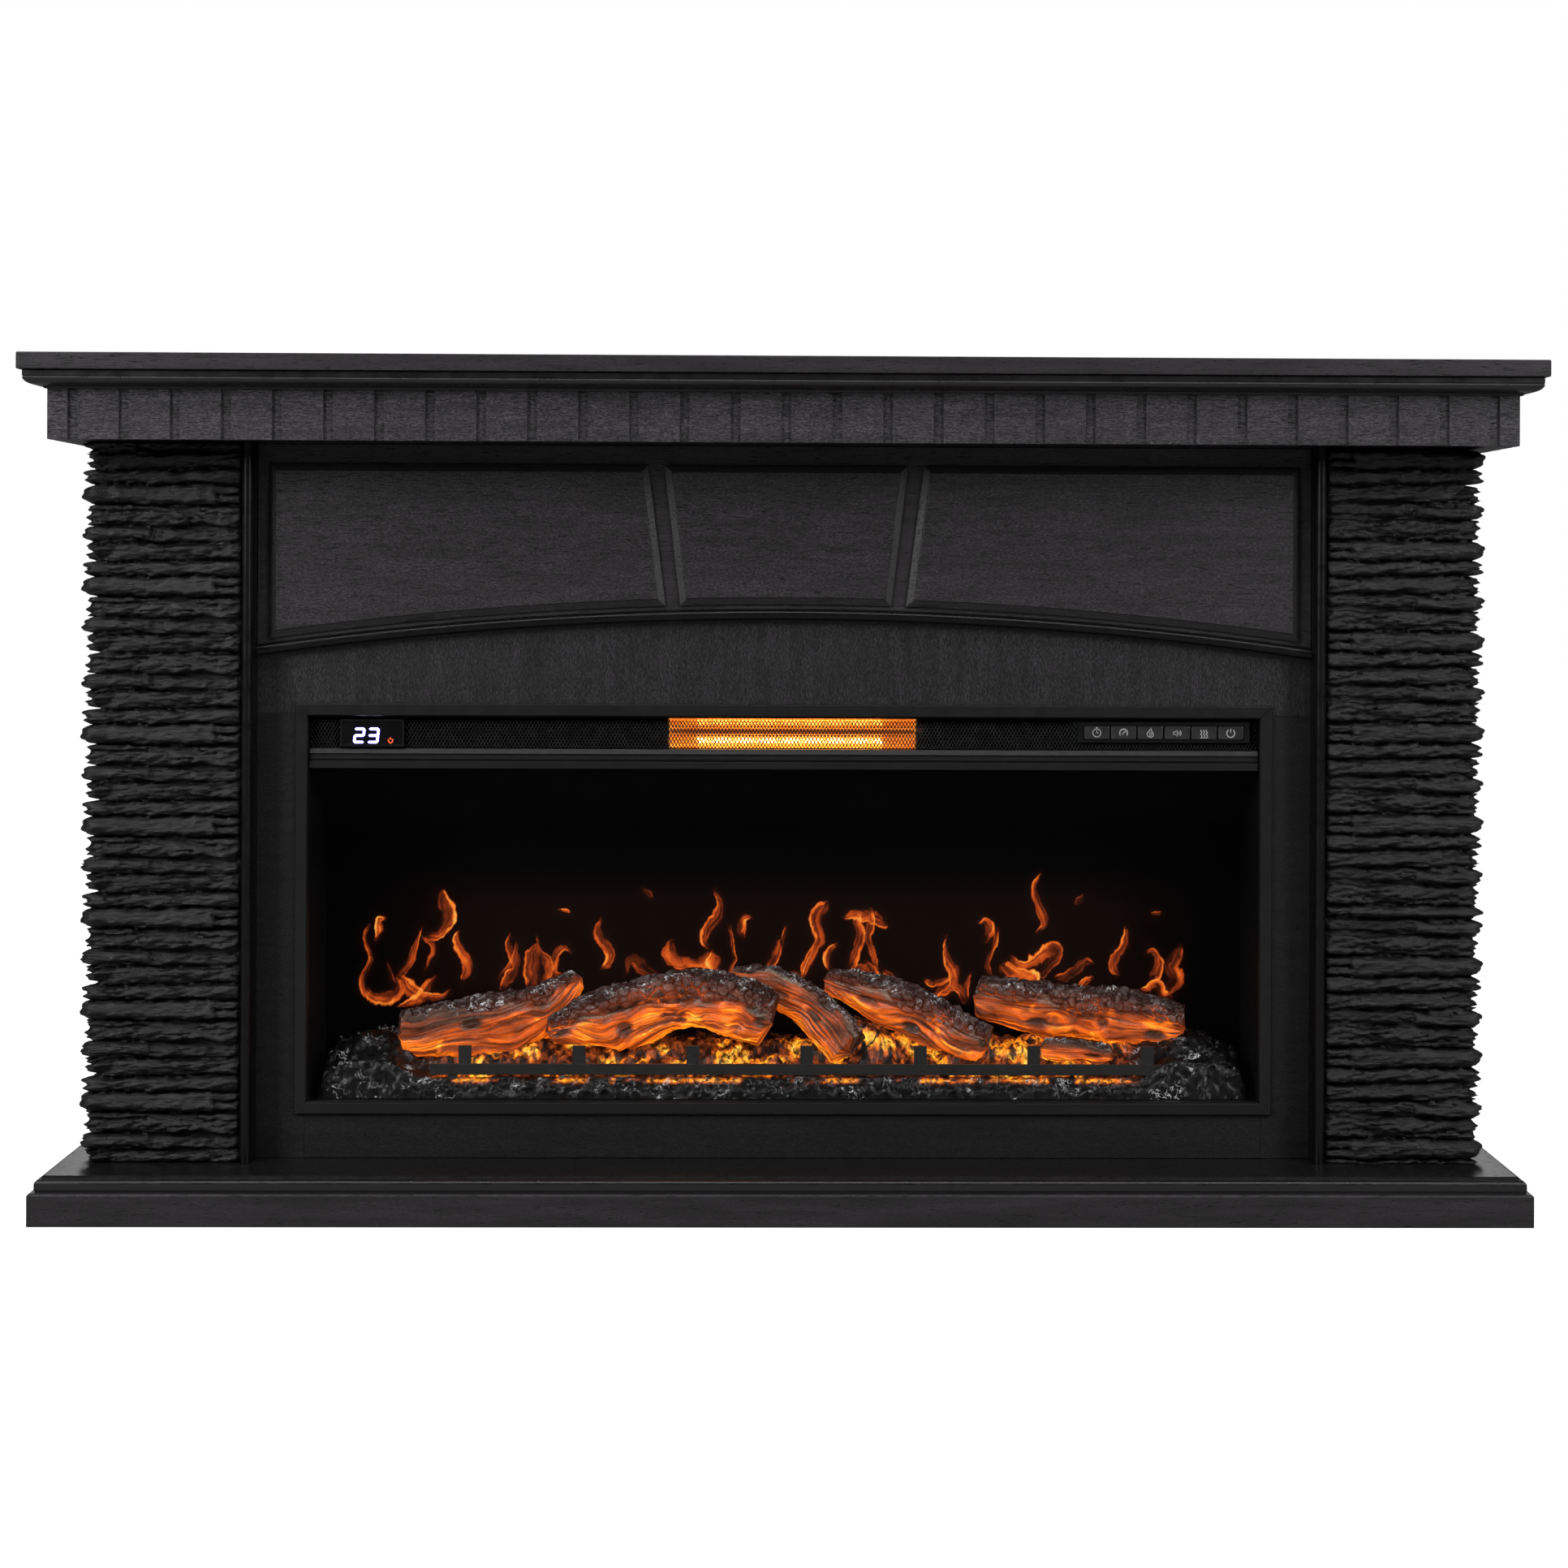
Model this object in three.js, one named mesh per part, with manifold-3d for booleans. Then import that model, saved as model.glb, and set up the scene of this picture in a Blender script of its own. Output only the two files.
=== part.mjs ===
// Electric fireplace: a veneered mantel surround with ledge-stone pillars, and a wide electric insert with an
// infrared heater above its flame window.
// Millimetres, +Z up, +X to the right of someone facing the fire, +Y towards the wall.
// The origin is on the floor, under the middle of the mantel shelf.
import * as THREE from "three";
import { mergeVertices } from "three/addons/utils/BufferGeometryUtils.js";
import Module from "manifold-3d";

const wasm = await Module();
wasm.setup();

// ---------------------------------------------------------------- driving dimensions

const gap = 0.3; // between pieces that touch
const board = 16; // thickness of the fibreboard panels

const depth = 390; // mantel shelf and hearth, front to wall
const frontY = -depth / 2;
const wallY = depth / 2;

const plinth = { halfWidth: 798, height: 35, chamfer: 2 };
const hearth = { inset: 6.5, top: 52 };

const shelf = { halfWidth: 812.5, thickness: 18, top: 923 };
const shelfUnder = shelf.top - shelf.thickness;
const crown = { height: 19, reach: 22 };
const frieze = {
  halfWidth: 785,
  frontY: frontY + 27,
  bottom: 832,
  groove: 10.8,
  grooveDepth: 3.5,
  pitch: 54.15,
};
const soffit = { thickness: board };

const fasciaY = frontY + 128; // front face of the flat panels round the insert
const pillar = { inner: 590.3, outer: 732.7, boardFrontY: frontY + 107.3 };
const bead = { inner: 576.5, outer: 590, frontY: frontY + 91 };
const stone = { inner: 590.6, backGap: gap };

const arch = { crownZ: 647.5, springZ: 606.5, halfSpan: 576, beadHalf: 6, beadProud: 14 };
arch.radius = (arch.halfSpan ** 2 + (arch.crownZ - arch.springZ) ** 2) / (2 * (arch.crownZ - arch.springZ));
arch.centreZ = arch.crownZ - arch.radius;
const spandrel = { thickness: 5.7 };
const panel = { top: 811, clearOfArch: 11, edge: 2, bevel: 8, height: 7 };

const trim = {
  halfWidth: 535,
  bottom: 100,
  top: 549,
  face: 12.5,
  proud: 4.3,
  lip: 2,
  lipBackY: fasciaY + 10,
};
const opening = { halfWidth: 524, bottom: 111, top: 538 }; // cut-out in the fascia
const insertCase = {
  halfWidth: 522.5,
  bottom: 112.5,
  top: 536.5,
  sheet: 1.2,
  frontY: fasciaY + 10.5,
  backY: 160,
};
const windowTop = 478; // top of the glass, underside of the divider rail
const rail = { top: 499.5, frontY: fasciaY + 1, backY: fasciaY + 16 };
const glass = { frontY: fasciaY + 4, thickness: 4, halfWidth: 520 };
const grille = { frontY: fasciaY + 7.5, thickness: 1.2 };

const heater = {
  centreX: 8,
  halfWidth: 135.5,
  lampRadius: 5,
  lampHalf: 118,
  upperZ: 528,
  lowerZ: 508,
  lampY: -36,
};
const blower = { y: 42, z: 517.5, impellerRadius: 12, halfLength: 110, blades: 12, wall: 2 };
const spindle = {
  y: 125,
  z: 150,
  shaftRadius: 3,
  left: -455,
  right: 440,
  fins: 14,
  finReach: 13,
  finWidth: 30,
};
const screen = { y: 88, thickness: 3 };

const keys = {
  count: 6,
  left: 327.4,
  pitch: 29.5,
  width: 28.6,
  bottom: 511.8,
  height: 15,
  frontY: fasciaY + 2.4,
};
const keyNames = ["timer", "brightness", "flame", "sound", "heat", "power"];
const keyTravel = 1.2;
const display = {
  left: -487,
  right: -417,
  bottom: 501.5,
  top: 531.5,
  frontY: fasciaY + 3.6,
  backY: fasciaY + 17,
};

// ---------------------------------------------------------------- finishes

const finish = (color, roughness, metalness = 0, more = {}) =>
  new THREE.MeshStandardMaterial({ color, roughness, metalness, ...more });
const veneer = finish(0x2a282b, 0.55);
const paintedWood = finish(0x232224, 0.45);
const rawBoard = finish(0x8a6f4e, 0.85);
const stonePaint = finish(0x1c1c1d, 0.5);
const trimPaint = finish(0x2b2b2c, 0.5, 0.3);
const sheetSteel = finish(0x18181a, 0.6, 0.5);
const clearGlass = finish(0x202224, 0.05, 0, { transparent: true, opacity: 0.2 });
const darkPlastic = finish(0x141415, 0.4);
const polished = finish(0xd8c9a8, 0.2, 1);
const quartz = finish(0xffb347, 0.1, 0, { emissive: 0xff7a1a });
const resin = finish(0x5a3018, 0.6);
const coal = finish(0x16140f, 0.3);
const frosted = finish(0x0d0a09, 0.4);
const steel = finish(0x9a9a9c, 0.35, 1);
const circuit = finish(0x1d4a2c, 0.6);

// ---------------------------------------------------------------- shape helpers

const model = new THREE.Group();

function add(name, geometry, material) {
  const mesh = new THREE.Mesh(geometry, material);
  mesh.name = name;
  model.add(mesh);
}

function box([x0, x1], [y0, y1], [z0, z1]) {
  const g = new THREE.BoxGeometry(x1 - x0, y1 - y0, z1 - z0);
  return g.translate((x0 + x1) / 2, (y0 + y1) / 2, (z0 + z1) / 2);
}

function prism(points, length) {
  const shape = new THREE.Shape(points.map(([a, b]) => new THREE.Vector2(a, b)));
  return new THREE.ExtrudeGeometry(shape, { depth: length, bevelEnabled: false });
}

// Outlines drawn in (y, z), (x, y) and (x, z), extruded along the third axis.
const turn = (x, y, z) => new THREE.Matrix4().makeBasis(x, y, z);
const [X, Y, Z] = [new THREE.Vector3(1, 0, 0), new THREE.Vector3(0, 1, 0), new THREE.Vector3(0, 0, 1)];
const alongX = (outline, x0, x1) => prism(outline, x1 - x0).applyMatrix4(turn(Y, Z, X)).translate(x0, 0, 0);
const alongZ = (outline, z0, z1) => prism(outline, z1 - z0).translate(0, 0, z0);
const alongY = (outline, y0, y1) =>
  prism(outline, y1 - y0).applyMatrix4(turn(X, Z, Y.clone().negate())).translate(0, y1, 0);

const cylinderX = (radius, x0, x1, y, z, sides = 24) =>
  new THREE.CylinderGeometry(radius, radius, x1 - x0, sides).rotateZ(Math.PI / 2).translate((x0 + x1) / 2, y, z);
const cylinderY = (radius, y0, y1, x, z, sides = 24) =>
  new THREE.CylinderGeometry(radius, radius, y1 - y0, sides).translate(x, (y0 + y1) / 2, z);

// A closed skin through rings that each hold the same outline; contour is that outline in its own plane.
function loft(rings, contour) {
  const n = contour.length;
  const positions = rings.flat(2);
  const faces = [];
  for (let r = 0; r + 1 < rings.length; r++) {
    for (let i = 0; i < n; i++) {
      const [a, b] = [r * n + i, r * n + ((i + 1) % n)];
      faces.push(a, b, b + n, a, b + n, a + n);
    }
  }
  const last = (rings.length - 1) * n;
  const flat = contour.map(([a, b]) => new THREE.Vector2(a, b));
  const clockwise = THREE.ShapeUtils.isClockWise(flat);
  for (const [a, b, c] of THREE.ShapeUtils.triangulateShape(flat, [])) {
    const [p, q] = clockwise ? [a, b] : [b, a];
    faces.push(p, q, c, last + q, last + p, last + c);
  }
  return facingOut(positions, faces);
}

// Turns every face round if the skin encloses a negative volume.
function facingOut(positions, faces) {
  const corner = (i) => new THREE.Vector3().fromArray(positions, 3 * i);
  let volume = 0;
  for (let i = 0; i < faces.length; i += 3) {
    volume += corner(faces[i]).dot(corner(faces[i + 1]).cross(corner(faces[i + 2])));
  }
  if (volume < 0) faces.reverse();
  const g = new THREE.BufferGeometry();
  g.setAttribute("position", new THREE.Float32BufferAttribute(positions, 3));
  return g.setIndex(faces);
}

function solid(geometry) {
  const bare = new THREE.BufferGeometry();
  bare.setAttribute("position", geometry.getAttribute("position"));
  bare.setIndex(geometry.index);
  const merged = mergeVertices(bare, 1e-4);
  return new wasm.Manifold(
    new wasm.Mesh({
      numProp: 3,
      vertProperties: merged.attributes.position.array,
      triVerts: new Uint32Array(merged.index.array),
    }),
  );
}

function geometryOf(made) {
  const mesh = made.getMesh();
  const g = new THREE.BufferGeometry();
  const positions = new Float32Array(mesh.numVert * 3);
  for (let i = 0; i < mesh.numVert; i++) {
    positions.set(mesh.vertProperties.subarray(i * mesh.numProp, i * mesh.numProp + 3), 3 * i);
  }
  g.setAttribute("position", new THREE.BufferAttribute(positions, 3));
  return g.setIndex(new THREE.BufferAttribute(mesh.triVerts, 1));
}

const joined = (first, ...rest) => geometryOf(rest.reduce((sum, g) => sum.add(solid(g)), solid(first)));
const cut = (first, ...tools) => geometryOf(tools.reduce((rest, g) => rest.subtract(solid(g)), solid(first)));

const arc = (centre, radius, from, to, steps) =>
  Array.from({ length: steps + 1 }, (_, i) => {
    const a = from + ((to - from) * i) / steps;
    return [centre[0] + radius * Math.cos(a), centre[1] + radius * Math.sin(a)];
  });

// A moulding that runs round the left side, the front and the right side, mitred at the two front corners.
// The profile is a closed outline of [reach beyond the faces, height].
function wrapRound(profile, halfWidth, front, back) {
  const stations = [[-1, back, 0], [-1, front, -1], [1, front, -1], [1, back, 0]];
  const rings = stations.map(([side, y, outwards]) =>
    profile.map(([reach, z]) => [side * (halfWidth + reach), y + outwards * reach, z]),
  );
  return loft(rings, profile);
}

// A board whose three free edges are moulded: levels are [inset, height] from the bottom up.
function edgedBoard(levels, halfWidth, front, back) {
  const square = [[-1, -1], [1, -1], [1, 1], [-1, 1]];
  const rings = levels.map(([inset, z]) =>
    square.map(([sx, sy]) => [sx * (halfWidth - inset), sy < 0 ? front + inset : back, z]),
  );
  return loft(rings, square);
}

// ---------------------------------------------------------------- plinth and hearth

function plinthBox() {
  const { height, chamfer, halfWidth } = plinth;
  const profile = [[0, 0], [0, height - chamfer], [-chamfer, height], [-board, height], [-board, 0]];
  return wrapRound(profile, halfWidth, frontY, wallY);
}

function hearthBoard() {
  const under = plinth.height + gap;
  const nose = arc([hearth.inset + 5, hearth.top - 8.5], 5, Math.PI, Math.PI / 2, 5);
  const levels = [
    [hearth.inset + 1, under],
    [hearth.inset + 1, under + 1.5],
    [hearth.inset, under + 2.5],
    ...nose,
    [hearth.inset + 6.5, hearth.top - 3.4],
    [hearth.inset + 6.8, hearth.top - 2],
    [hearth.inset + 9, hearth.top],
  ];
  return edgedBoard(levels, plinth.halfWidth, frontY, wallY);
}

add("plinth_box", plinthBox(), veneer);
add("hearth_board", hearthBoard(), paintedWood);

// ---------------------------------------------------------------- pillars

const shaftBottom = hearth.top + gap;
const shaftTop = frieze.bottom - gap;

function pillarCarcass(side) {
  const { inner, outer, boardFrontY } = pillar;
  const outline = [
    [inner, wallY], [inner, boardFrontY], [outer, boardFrontY], [outer, wallY],
    [outer - board, wallY], [outer - board, boardFrontY + board],
    [inner + board, boardFrontY + board], [inner + board, wallY],
  ].map(([x, y]) => [side * x, y]);
  return alongZ(outline, shaftBottom, shaftTop);
}

// One moulded stone tile, from its top course down: height, and how far it stands off the pillar in front and beside.
const courses = [
  { height: 12.5, front: 15, beside: 13 }, // broken rock
  { height: 12, front: 17, beside: 10 },
  { height: 13.5, front: 13.5, beside: 11, block: 26 }, // short corner block that stands out
  { height: 5.5, front: 12.5, beside: 9, block: 19 },
  { height: 8.5, front: 14, beside: 8 }, // thin layers
  { height: 8.5, front: 12.5, beside: 8.5 },
  { height: 16.5, front: 16, beside: 20 }, // slab
  { height: 22.5, front: 18, beside: 24 }, // smooth slab
];
const tileHeight = courses.reduce((sum, c) => sum + c.height, 0);
const blockLength = 52;

// The tiles are laid from a height where one starts, and cut off where the run ends.
function stoneRun(tiles, top, bottom, start, rotated) {
  const order = rotated ? [...tiles].reverse() : tiles;
  const rows = [];
  let z = start + tileHeight * Math.ceil((top - start) / tileHeight);
  while (z > bottom) {
    for (const course of order) {
      const [from, to] = [Math.min(z, top), Math.max(z - course.height, bottom)];
      if (from - to > 1) rows.push({ ...course, from, to });
      z -= course.height;
    }
  }
  return rows;
}

function stoneCladding(side, rows) {
  const back = pillar.boardFrontY - stone.backGap;
  const flank = pillar.outer + stone.backGap;
  const mirrored = (outline) => outline.map(([x, y]) => [side * x, y]);
  const pieces = rows.flatMap(({ from, to, front, beside, block }) => {
    const skin = [
      [stone.inner, back], [stone.inner, back - front], [flank + beside, back - front],
      [flank + beside, wallY], [flank, wallY], [flank, back],
    ];
    const made = [alongZ(mirrored(skin), to, from)];
    if (block) {
      const corner = flank + block;
      const stub = [
        [corner - blockLength - block, back - 5], [corner - blockLength - block, back - front - 4],
        [corner, back - front - 4], [corner, back + blockLength],
        [flank + 3, back + blockLength], [flank + 3, back - 5],
      ];
      made.push(alongZ(mirrored(stub), to, from));
    }
    return made;
  });
  return joined(...pieces);
}

const leftJoint = 603; // heights where a cut tile meets the next run
const rightJoint = 318;
const leftRows = [
  ...stoneRun(courses, shaftTop, leftJoint, 768.7, false),
  ...stoneRun(courses, leftJoint, shaftBottom, leftJoint + 5, false),
];
const rightRows = [
  ...stoneRun(courses, shaftTop, rightJoint, 815.5, true),
  ...stoneRun(courses, rightJoint, shaftBottom, 363.5, true),
];

function pillarBead(side) {
  const radius = (bead.outer - bead.inner) / 2 - 1;
  const middle = (bead.outer + bead.inner) / 2;
  const nose = arc([middle, bead.frontY + radius], radius, 0, -Math.PI, 10);
  const base = fasciaY - gap;
  const outline = [[bead.outer, base], [bead.outer, bead.frontY + radius + 2], ...nose];
  outline.push([bead.inner, bead.frontY + radius + 2], [bead.inner, base]);
  return alongZ(outline.map(([x, y]) => [side * x, y]), shaftBottom, shaftTop);
}

for (const [name, side, rows] of [["left", -1, leftRows], ["right", 1, rightRows]]) {
  add(`pillar_carcass_${name}`, pillarCarcass(side), rawBoard);
  add(`stone_cladding_${name}`, stoneCladding(side, rows), stonePaint);
  add(`pillar_bead_${name}`, pillarBead(side), paintedWood);
}

// ---------------------------------------------------------------- fascia round the insert

const fasciaEdge = pillar.inner - gap;
const fasciaDepth = [fasciaY, fasciaY + board];
const stileX = [opening.halfWidth, fasciaEdge];
add("fascia_top_board", box([-fasciaEdge, fasciaEdge], fasciaDepth, [opening.top + gap, shaftTop]), veneer);
add("fascia_stile_left", box([-stileX[1], -stileX[0]], fasciaDepth, [shaftBottom, opening.top]), veneer);
add("fascia_stile_right", box(stileX, fasciaDepth, [shaftBottom, opening.top]), veneer);
const railX = opening.halfWidth - gap;
add("fascia_bottom_rail", box([-railX, railX], fasciaDepth, [shaftBottom, opening.bottom]), veneer);

// The shelf that the insert stands on, between the pillars.
const insertShelfTop = insertCase.bottom - gap;
const insertShelfY = [fasciaY + board + gap, wallY];
const insertShelfZ = [insertShelfTop - board, insertShelfTop];
add("insert_shelf", box([-fasciaEdge, fasciaEdge], insertShelfY, insertShelfZ), rawBoard);

// ---------------------------------------------------------------- arched spandrel, its bead and the raised panels

const archPoint = (radius, x) => [x, arch.centreZ + Math.sqrt(radius ** 2 - x ** 2)];
const spread = (from, to, steps) =>
  Array.from({ length: steps + 1 }, (_, i) => from + ((to - from) * i) / steps);

const spandrelFront = fasciaY - gap - spandrel.thickness;
const spandrelRadius = arch.radius + arch.beadHalf + gap;
const spandrelEdge = bead.inner - gap;
const spandrelOutline = [
  [spandrelEdge, shaftTop],
  [-spandrelEdge, shaftTop],
  ...spread(-spandrelEdge, spandrelEdge, 20).map((x) => archPoint(spandrelRadius, x)),
];
add("arch_spandrel", alongY(spandrelOutline, spandrelFront, fasciaY - gap), veneer);

function archBead() {
  const back = fasciaY - gap;
  const nose = arc([0, back - arch.beadProud + arch.beadHalf], arch.beadHalf, 0, -Math.PI, 6);
  const profile = [[arch.beadHalf, back], ...nose, [-arch.beadHalf, back]];
  const rings = spread(-spandrelEdge, spandrelEdge, 20).map((x) =>
    profile.map(([rise, y]) => {
      const [, z] = archPoint(arch.radius + rise, x);
      return [x, y, z];
    }),
  );
  return loft(rings, profile);
}
add("arch_bead", archBead(), paintedWood);

// Each panel's outline, moved in by inset. Its sides are lines from the top corner to the bottom corner.
function panelOutline({ topLeft, topRight, bottomLeft, bottomRight }, inset) {
  const radius = arch.radius + panel.clearOfArch + inset;
  const top = panel.top - inset;
  const sideX = (topX, bottomX, z, side) => {
    const [, foot] = archPoint(arch.radius + panel.clearOfArch, bottomX);
    return bottomX + ((topX - bottomX) * (z - foot)) / (panel.top - foot) + side * inset;
  };
  const footX = (topX, bottomX, side) => {
    let x = bottomX;
    for (let i = 0; i < 4; i++) x = sideX(topX, bottomX, archPoint(radius, x)[1], side);
    return x;
  };
  const [left, right] = [footX(topLeft, bottomLeft, 1), footX(topRight, bottomRight, -1)];
  return [
    [sideX(topRight, bottomRight, top, -1), top],
    [sideX(topLeft, bottomLeft, top, 1), top],
    ...spread(left, right, 12).map((x) => archPoint(radius, x)),
  ];
}

function raisedPanel(corners) {
  const base = spandrelFront - gap;
  const steps = [[0, 0], [0, panel.edge], [panel.bevel, panel.height - 1], [panel.bevel, panel.height]];
  const rings = steps.map(([inset, rise]) => panelOutline(corners, inset).map(([x, z]) => [x, base - rise, z]));
  return loft(rings, panelOutline(corners, 0));
}
const keystone = { topLeft: -133.6, topRight: 133.6, bottomLeft: -115.5, bottomRight: 115.5 };
const outerPanel = { topLeft: -563.5, topRight: -150.6, bottomLeft: -563.5, bottomRight: -131 };
const flipped = ({ topLeft, topRight, bottomLeft, bottomRight }) => ({
  topLeft: -topRight,
  topRight: -topLeft,
  bottomLeft: -bottomRight,
  bottomRight: -bottomLeft,
});
add("raised_panel_left", raisedPanel(outerPanel), veneer);
add("raised_panel_centre", raisedPanel(keystone), veneer);
add("raised_panel_right", raisedPanel(flipped(outerPanel)), veneer);

// ---------------------------------------------------------------- mantel

// Plan of the frieze: three boards whose faces carry upright grooves, which leave a row of blocks.
function friezeBoards() {
  const { halfWidth, groove, grooveDepth, pitch } = frieze;
  const half = groove / 2;
  const outline = [[-halfWidth, wallY]];
  const sideGrooves = spread(0, 5, 5).map((i) => frieze.frontY + 0.5 * pitch + i * pitch + 4);
  const notch = (x, inwards, y) => [
    [x, y - half], [x + inwards * grooveDepth, y - half], [x + inwards * grooveDepth, y + half], [x, y + half],
  ];
  for (const y of [...sideGrooves].reverse()) outline.push(...notch(-halfWidth, 1, y).reverse());
  outline.push([-halfWidth, frieze.frontY]);
  for (let i = -14; i <= 14; i++) {
    const x = i * pitch;
    const floor = frieze.frontY + grooveDepth;
    outline.push([x - half, frieze.frontY], [x - half, floor], [x + half, floor], [x + half, frieze.frontY]);
  }
  outline.push([halfWidth, frieze.frontY]);
  for (const y of sideGrooves) outline.push(...notch(halfWidth, -1, y));
  const inner = halfWidth - board;
  outline.push([halfWidth, wallY], [inner, wallY], [inner, frieze.frontY + board]);
  outline.push([-inner, frieze.frontY + board], [-inner, wallY]);
  return alongZ(outline, frieze.bottom, shelfUnder - gap);
}
add("frieze", friezeBoards(), veneer);

const soffitX = frieze.halfWidth - board - gap;
const soffitY = [frieze.frontY + board + gap, wallY];
const soffitZ = [frieze.bottom, frieze.bottom + soffit.thickness];
add("mantel_soffit", box([-soffitX, soffitX], soffitY, soffitZ), paintedWood);

// The crown moulding: an upright band over a rounded cove and a small fillet.
function crownMoulding() {
  const top = shelfUnder - gap;
  const bandFoot = top - 7.5;
  const cove = Array.from({ length: 7 }, (_, i) => {
    const a = (i / 6) * (Math.PI / 2);
    return [5 + (crown.reach - 5) * Math.cos(a), bandFoot - 9 * Math.sin(a)];
  });
  const foot = shelfUnder - crown.height;
  const profile = [[gap, top], [crown.reach, top], ...cove, [3.5, bandFoot - 9.6], [3.5, foot], [gap, foot]];
  return wrapRound(profile, frieze.halfWidth, frieze.frontY, wallY);
}
add("crown_moulding", crownMoulding(), paintedWood);

const shelfLevels = [[0.8, shelfUnder], [0, shelfUnder + 0.8], [0, shelf.top - 0.8], [0.8, shelf.top]];
add("mantel_shelf", edgedBoard(shelfLevels, shelf.halfWidth, frontY, wallY), veneer);

// ---------------------------------------------------------------- trim frame of the insert

// The trim's section: [distance in from its outer edge, y]. A flat face, a chamfer, and a lip into the cut-out.
const trimFront = fasciaY - trim.proud;
const trimBack = fasciaY - gap;
const trimSection = [
  [0, trimBack], [0, trimFront + 1], [1, trimFront], [trim.face, trimFront],
  [trim.face + 1.5, trimFront + 2], [trim.face + 1.5, trim.lipBackY],
  [trim.face + 1.5 - trim.lip, trim.lipBackY], [trim.face + 1.5 - trim.lip, trimBack],
];
const trimCorner = (k, inset) => {
  const right = k === 1 || k === 2;
  const upper = k >= 2;
  return [
    (right ? 1 : -1) * (trim.halfWidth - inset),
    upper ? trim.top - inset : trim.bottom + inset,
  ];
};
["trim_bottom", "trim_right", "trim_top", "trim_left"].forEach((name, k) => {
  const next = (k + 1) % 4;
  const [here, there] = [trimCorner(k, 0), trimCorner(next, 0)];
  const along = [Math.sign(there[0] - here[0]), Math.sign(there[1] - here[1])];
  const end = (corner, sign) =>
    trimSection.map(([inset, y]) => {
      const [x, z] = trimCorner(corner, inset);
      return [x + (sign * along[0] * gap) / 2, y, z + (sign * along[1] * gap) / 2];
    });
  add(name, loft([end(k, 1), end(next, -1)], trimSection), trimPaint);
});

// ---------------------------------------------------------------- window, divider rail and heater grille

const windowFoot = insertCase.bottom + 2;
const glassZ = [windowFoot, windowTop - gap];
const glassY = [glass.frontY, glass.frontY + glass.thickness];
add("glass_pane", box([-glass.halfWidth, glass.halfWidth], glassY, glassZ), clearGlass);

function dividerRail() {
  const { top, frontY: face, backY } = rail;
  const outline = [
    [backY, windowTop], [face, windowTop], [face, windowTop + 7.5], [face + 3, windowTop + 8.5],
    [face + 3, windowTop + 9.5], [face + 1, windowTop + 10],
    [face + 1, windowTop + 11.5], [face + 3.5, windowTop + 12.5],
    [face + 3.5, windowTop + 15], [face + 1.5, windowTop + 16], [face + 5.5, top], [backY, top],
  ];
  return alongX(outline, -glass.halfWidth, glass.halfWidth);
}
add("divider_rail", dividerRail(), trimPaint);

const keysRight = keys.left + keys.count * keys.pitch;
const bezel = {
  left: keys.left - 6,
  right: keysRight + 6,
  bottom: keys.bottom - 3.5,
  top: keys.bottom + keys.height + 4.5,
};
const grilleZ = [rail.top + gap, insertCase.top - 1.8];
const grilleY = [grille.frontY, grille.frontY + grille.thickness];
const keyWindow = box([bezel.left + 4, bezel.right - 4], [-80, -40], [keys.bottom - 1, keys.bottom + keys.height + 1]);
const displayHole = box(
  [display.left - 0.5, display.right + 0.5],
  [-80, -40],
  [display.bottom - 0.5, display.top + 0.5],
);
const grilleSheet = box([-glass.halfWidth, glass.halfWidth], grilleY, grilleZ);
add("heater_grille", cut(grilleSheet, keyWindow, displayHole), trimPaint);

// ---------------------------------------------------------------- sheet-metal case

const caseDepth = [insertCase.frontY, insertCase.backY];
const caseZ = [insertCase.bottom, insertCase.top];
const inside = insertCase.halfWidth - insertCase.sheet;
const insideZ = [insertCase.bottom + insertCase.sheet, insertCase.top - insertCase.sheet];
const caseBlock = box([-insertCase.halfWidth, insertCase.halfWidth], caseDepth, caseZ);
const caseHollow = box([-inside, inside], [caseDepth[0] - 5, caseDepth[1] + 5], insideZ);
const topVents = spread(-5, 5, 10).map((i) =>
  box([i * 26 - 9, i * 26 + 9], [96, 100], [insideZ[1] - 5, caseZ[1] + 5]),
);
add("case_sleeve", cut(caseBlock, caseHollow, ...topVents), sheetSteel);

const backPlateY = [insertCase.backY + gap, insertCase.backY + gap + insertCase.sheet];
const gland = { x: 430, z: 150, radius: 9 };
const glandHole = cylinderY(gland.radius, backPlateY[0] - 5, backPlateY[1] + 5, gland.x, gland.z, 20);
const backVents = spread(0, 7, 7).map((i) => box([-380 + i * 22, -370 + i * 22], [150, 170], [505, 528]));
const backPlate = box([-insertCase.halfWidth, insertCase.halfWidth], backPlateY, caseZ);
add("case_back", cut(backPlate, glandHole, ...backVents), sheetSteel);

// A cable gland screwed through the back plate: the lead itself isn't part of the model.
function cordGland() {
  const [y0, y1] = backPlateY;
  const ring = (radius, from, to, sides) => cylinderY(radius, from, to, gland.x, gland.z, sides);
  const body = joined(
    ring(gland.radius - gap, y0 - 8, y1 + 2, 20),
    ring(13, y1 + gap, y1 + 7, 6),
    ring(10, y1 + 6, y1 + 16, 20),
    ring(12, y0 - 6, y0 - gap, 6),
  );
  return cut(body, ring(4, y0 - 20, y1 + 30, 16));
}
add("cord_gland", cordGland(), darkPlastic);

// The plate between the firebox and the heater chamber.
const deckZ = [rail.top - 2.7, rail.top - 1.5];
const deckY = [rail.backY + gap, insertCase.backY - 1];
add("heater_deck", box([-inside + gap, inside - gap], deckY, deckZ), sheetSteel);

// ---------------------------------------------------------------- display and keys

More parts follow.
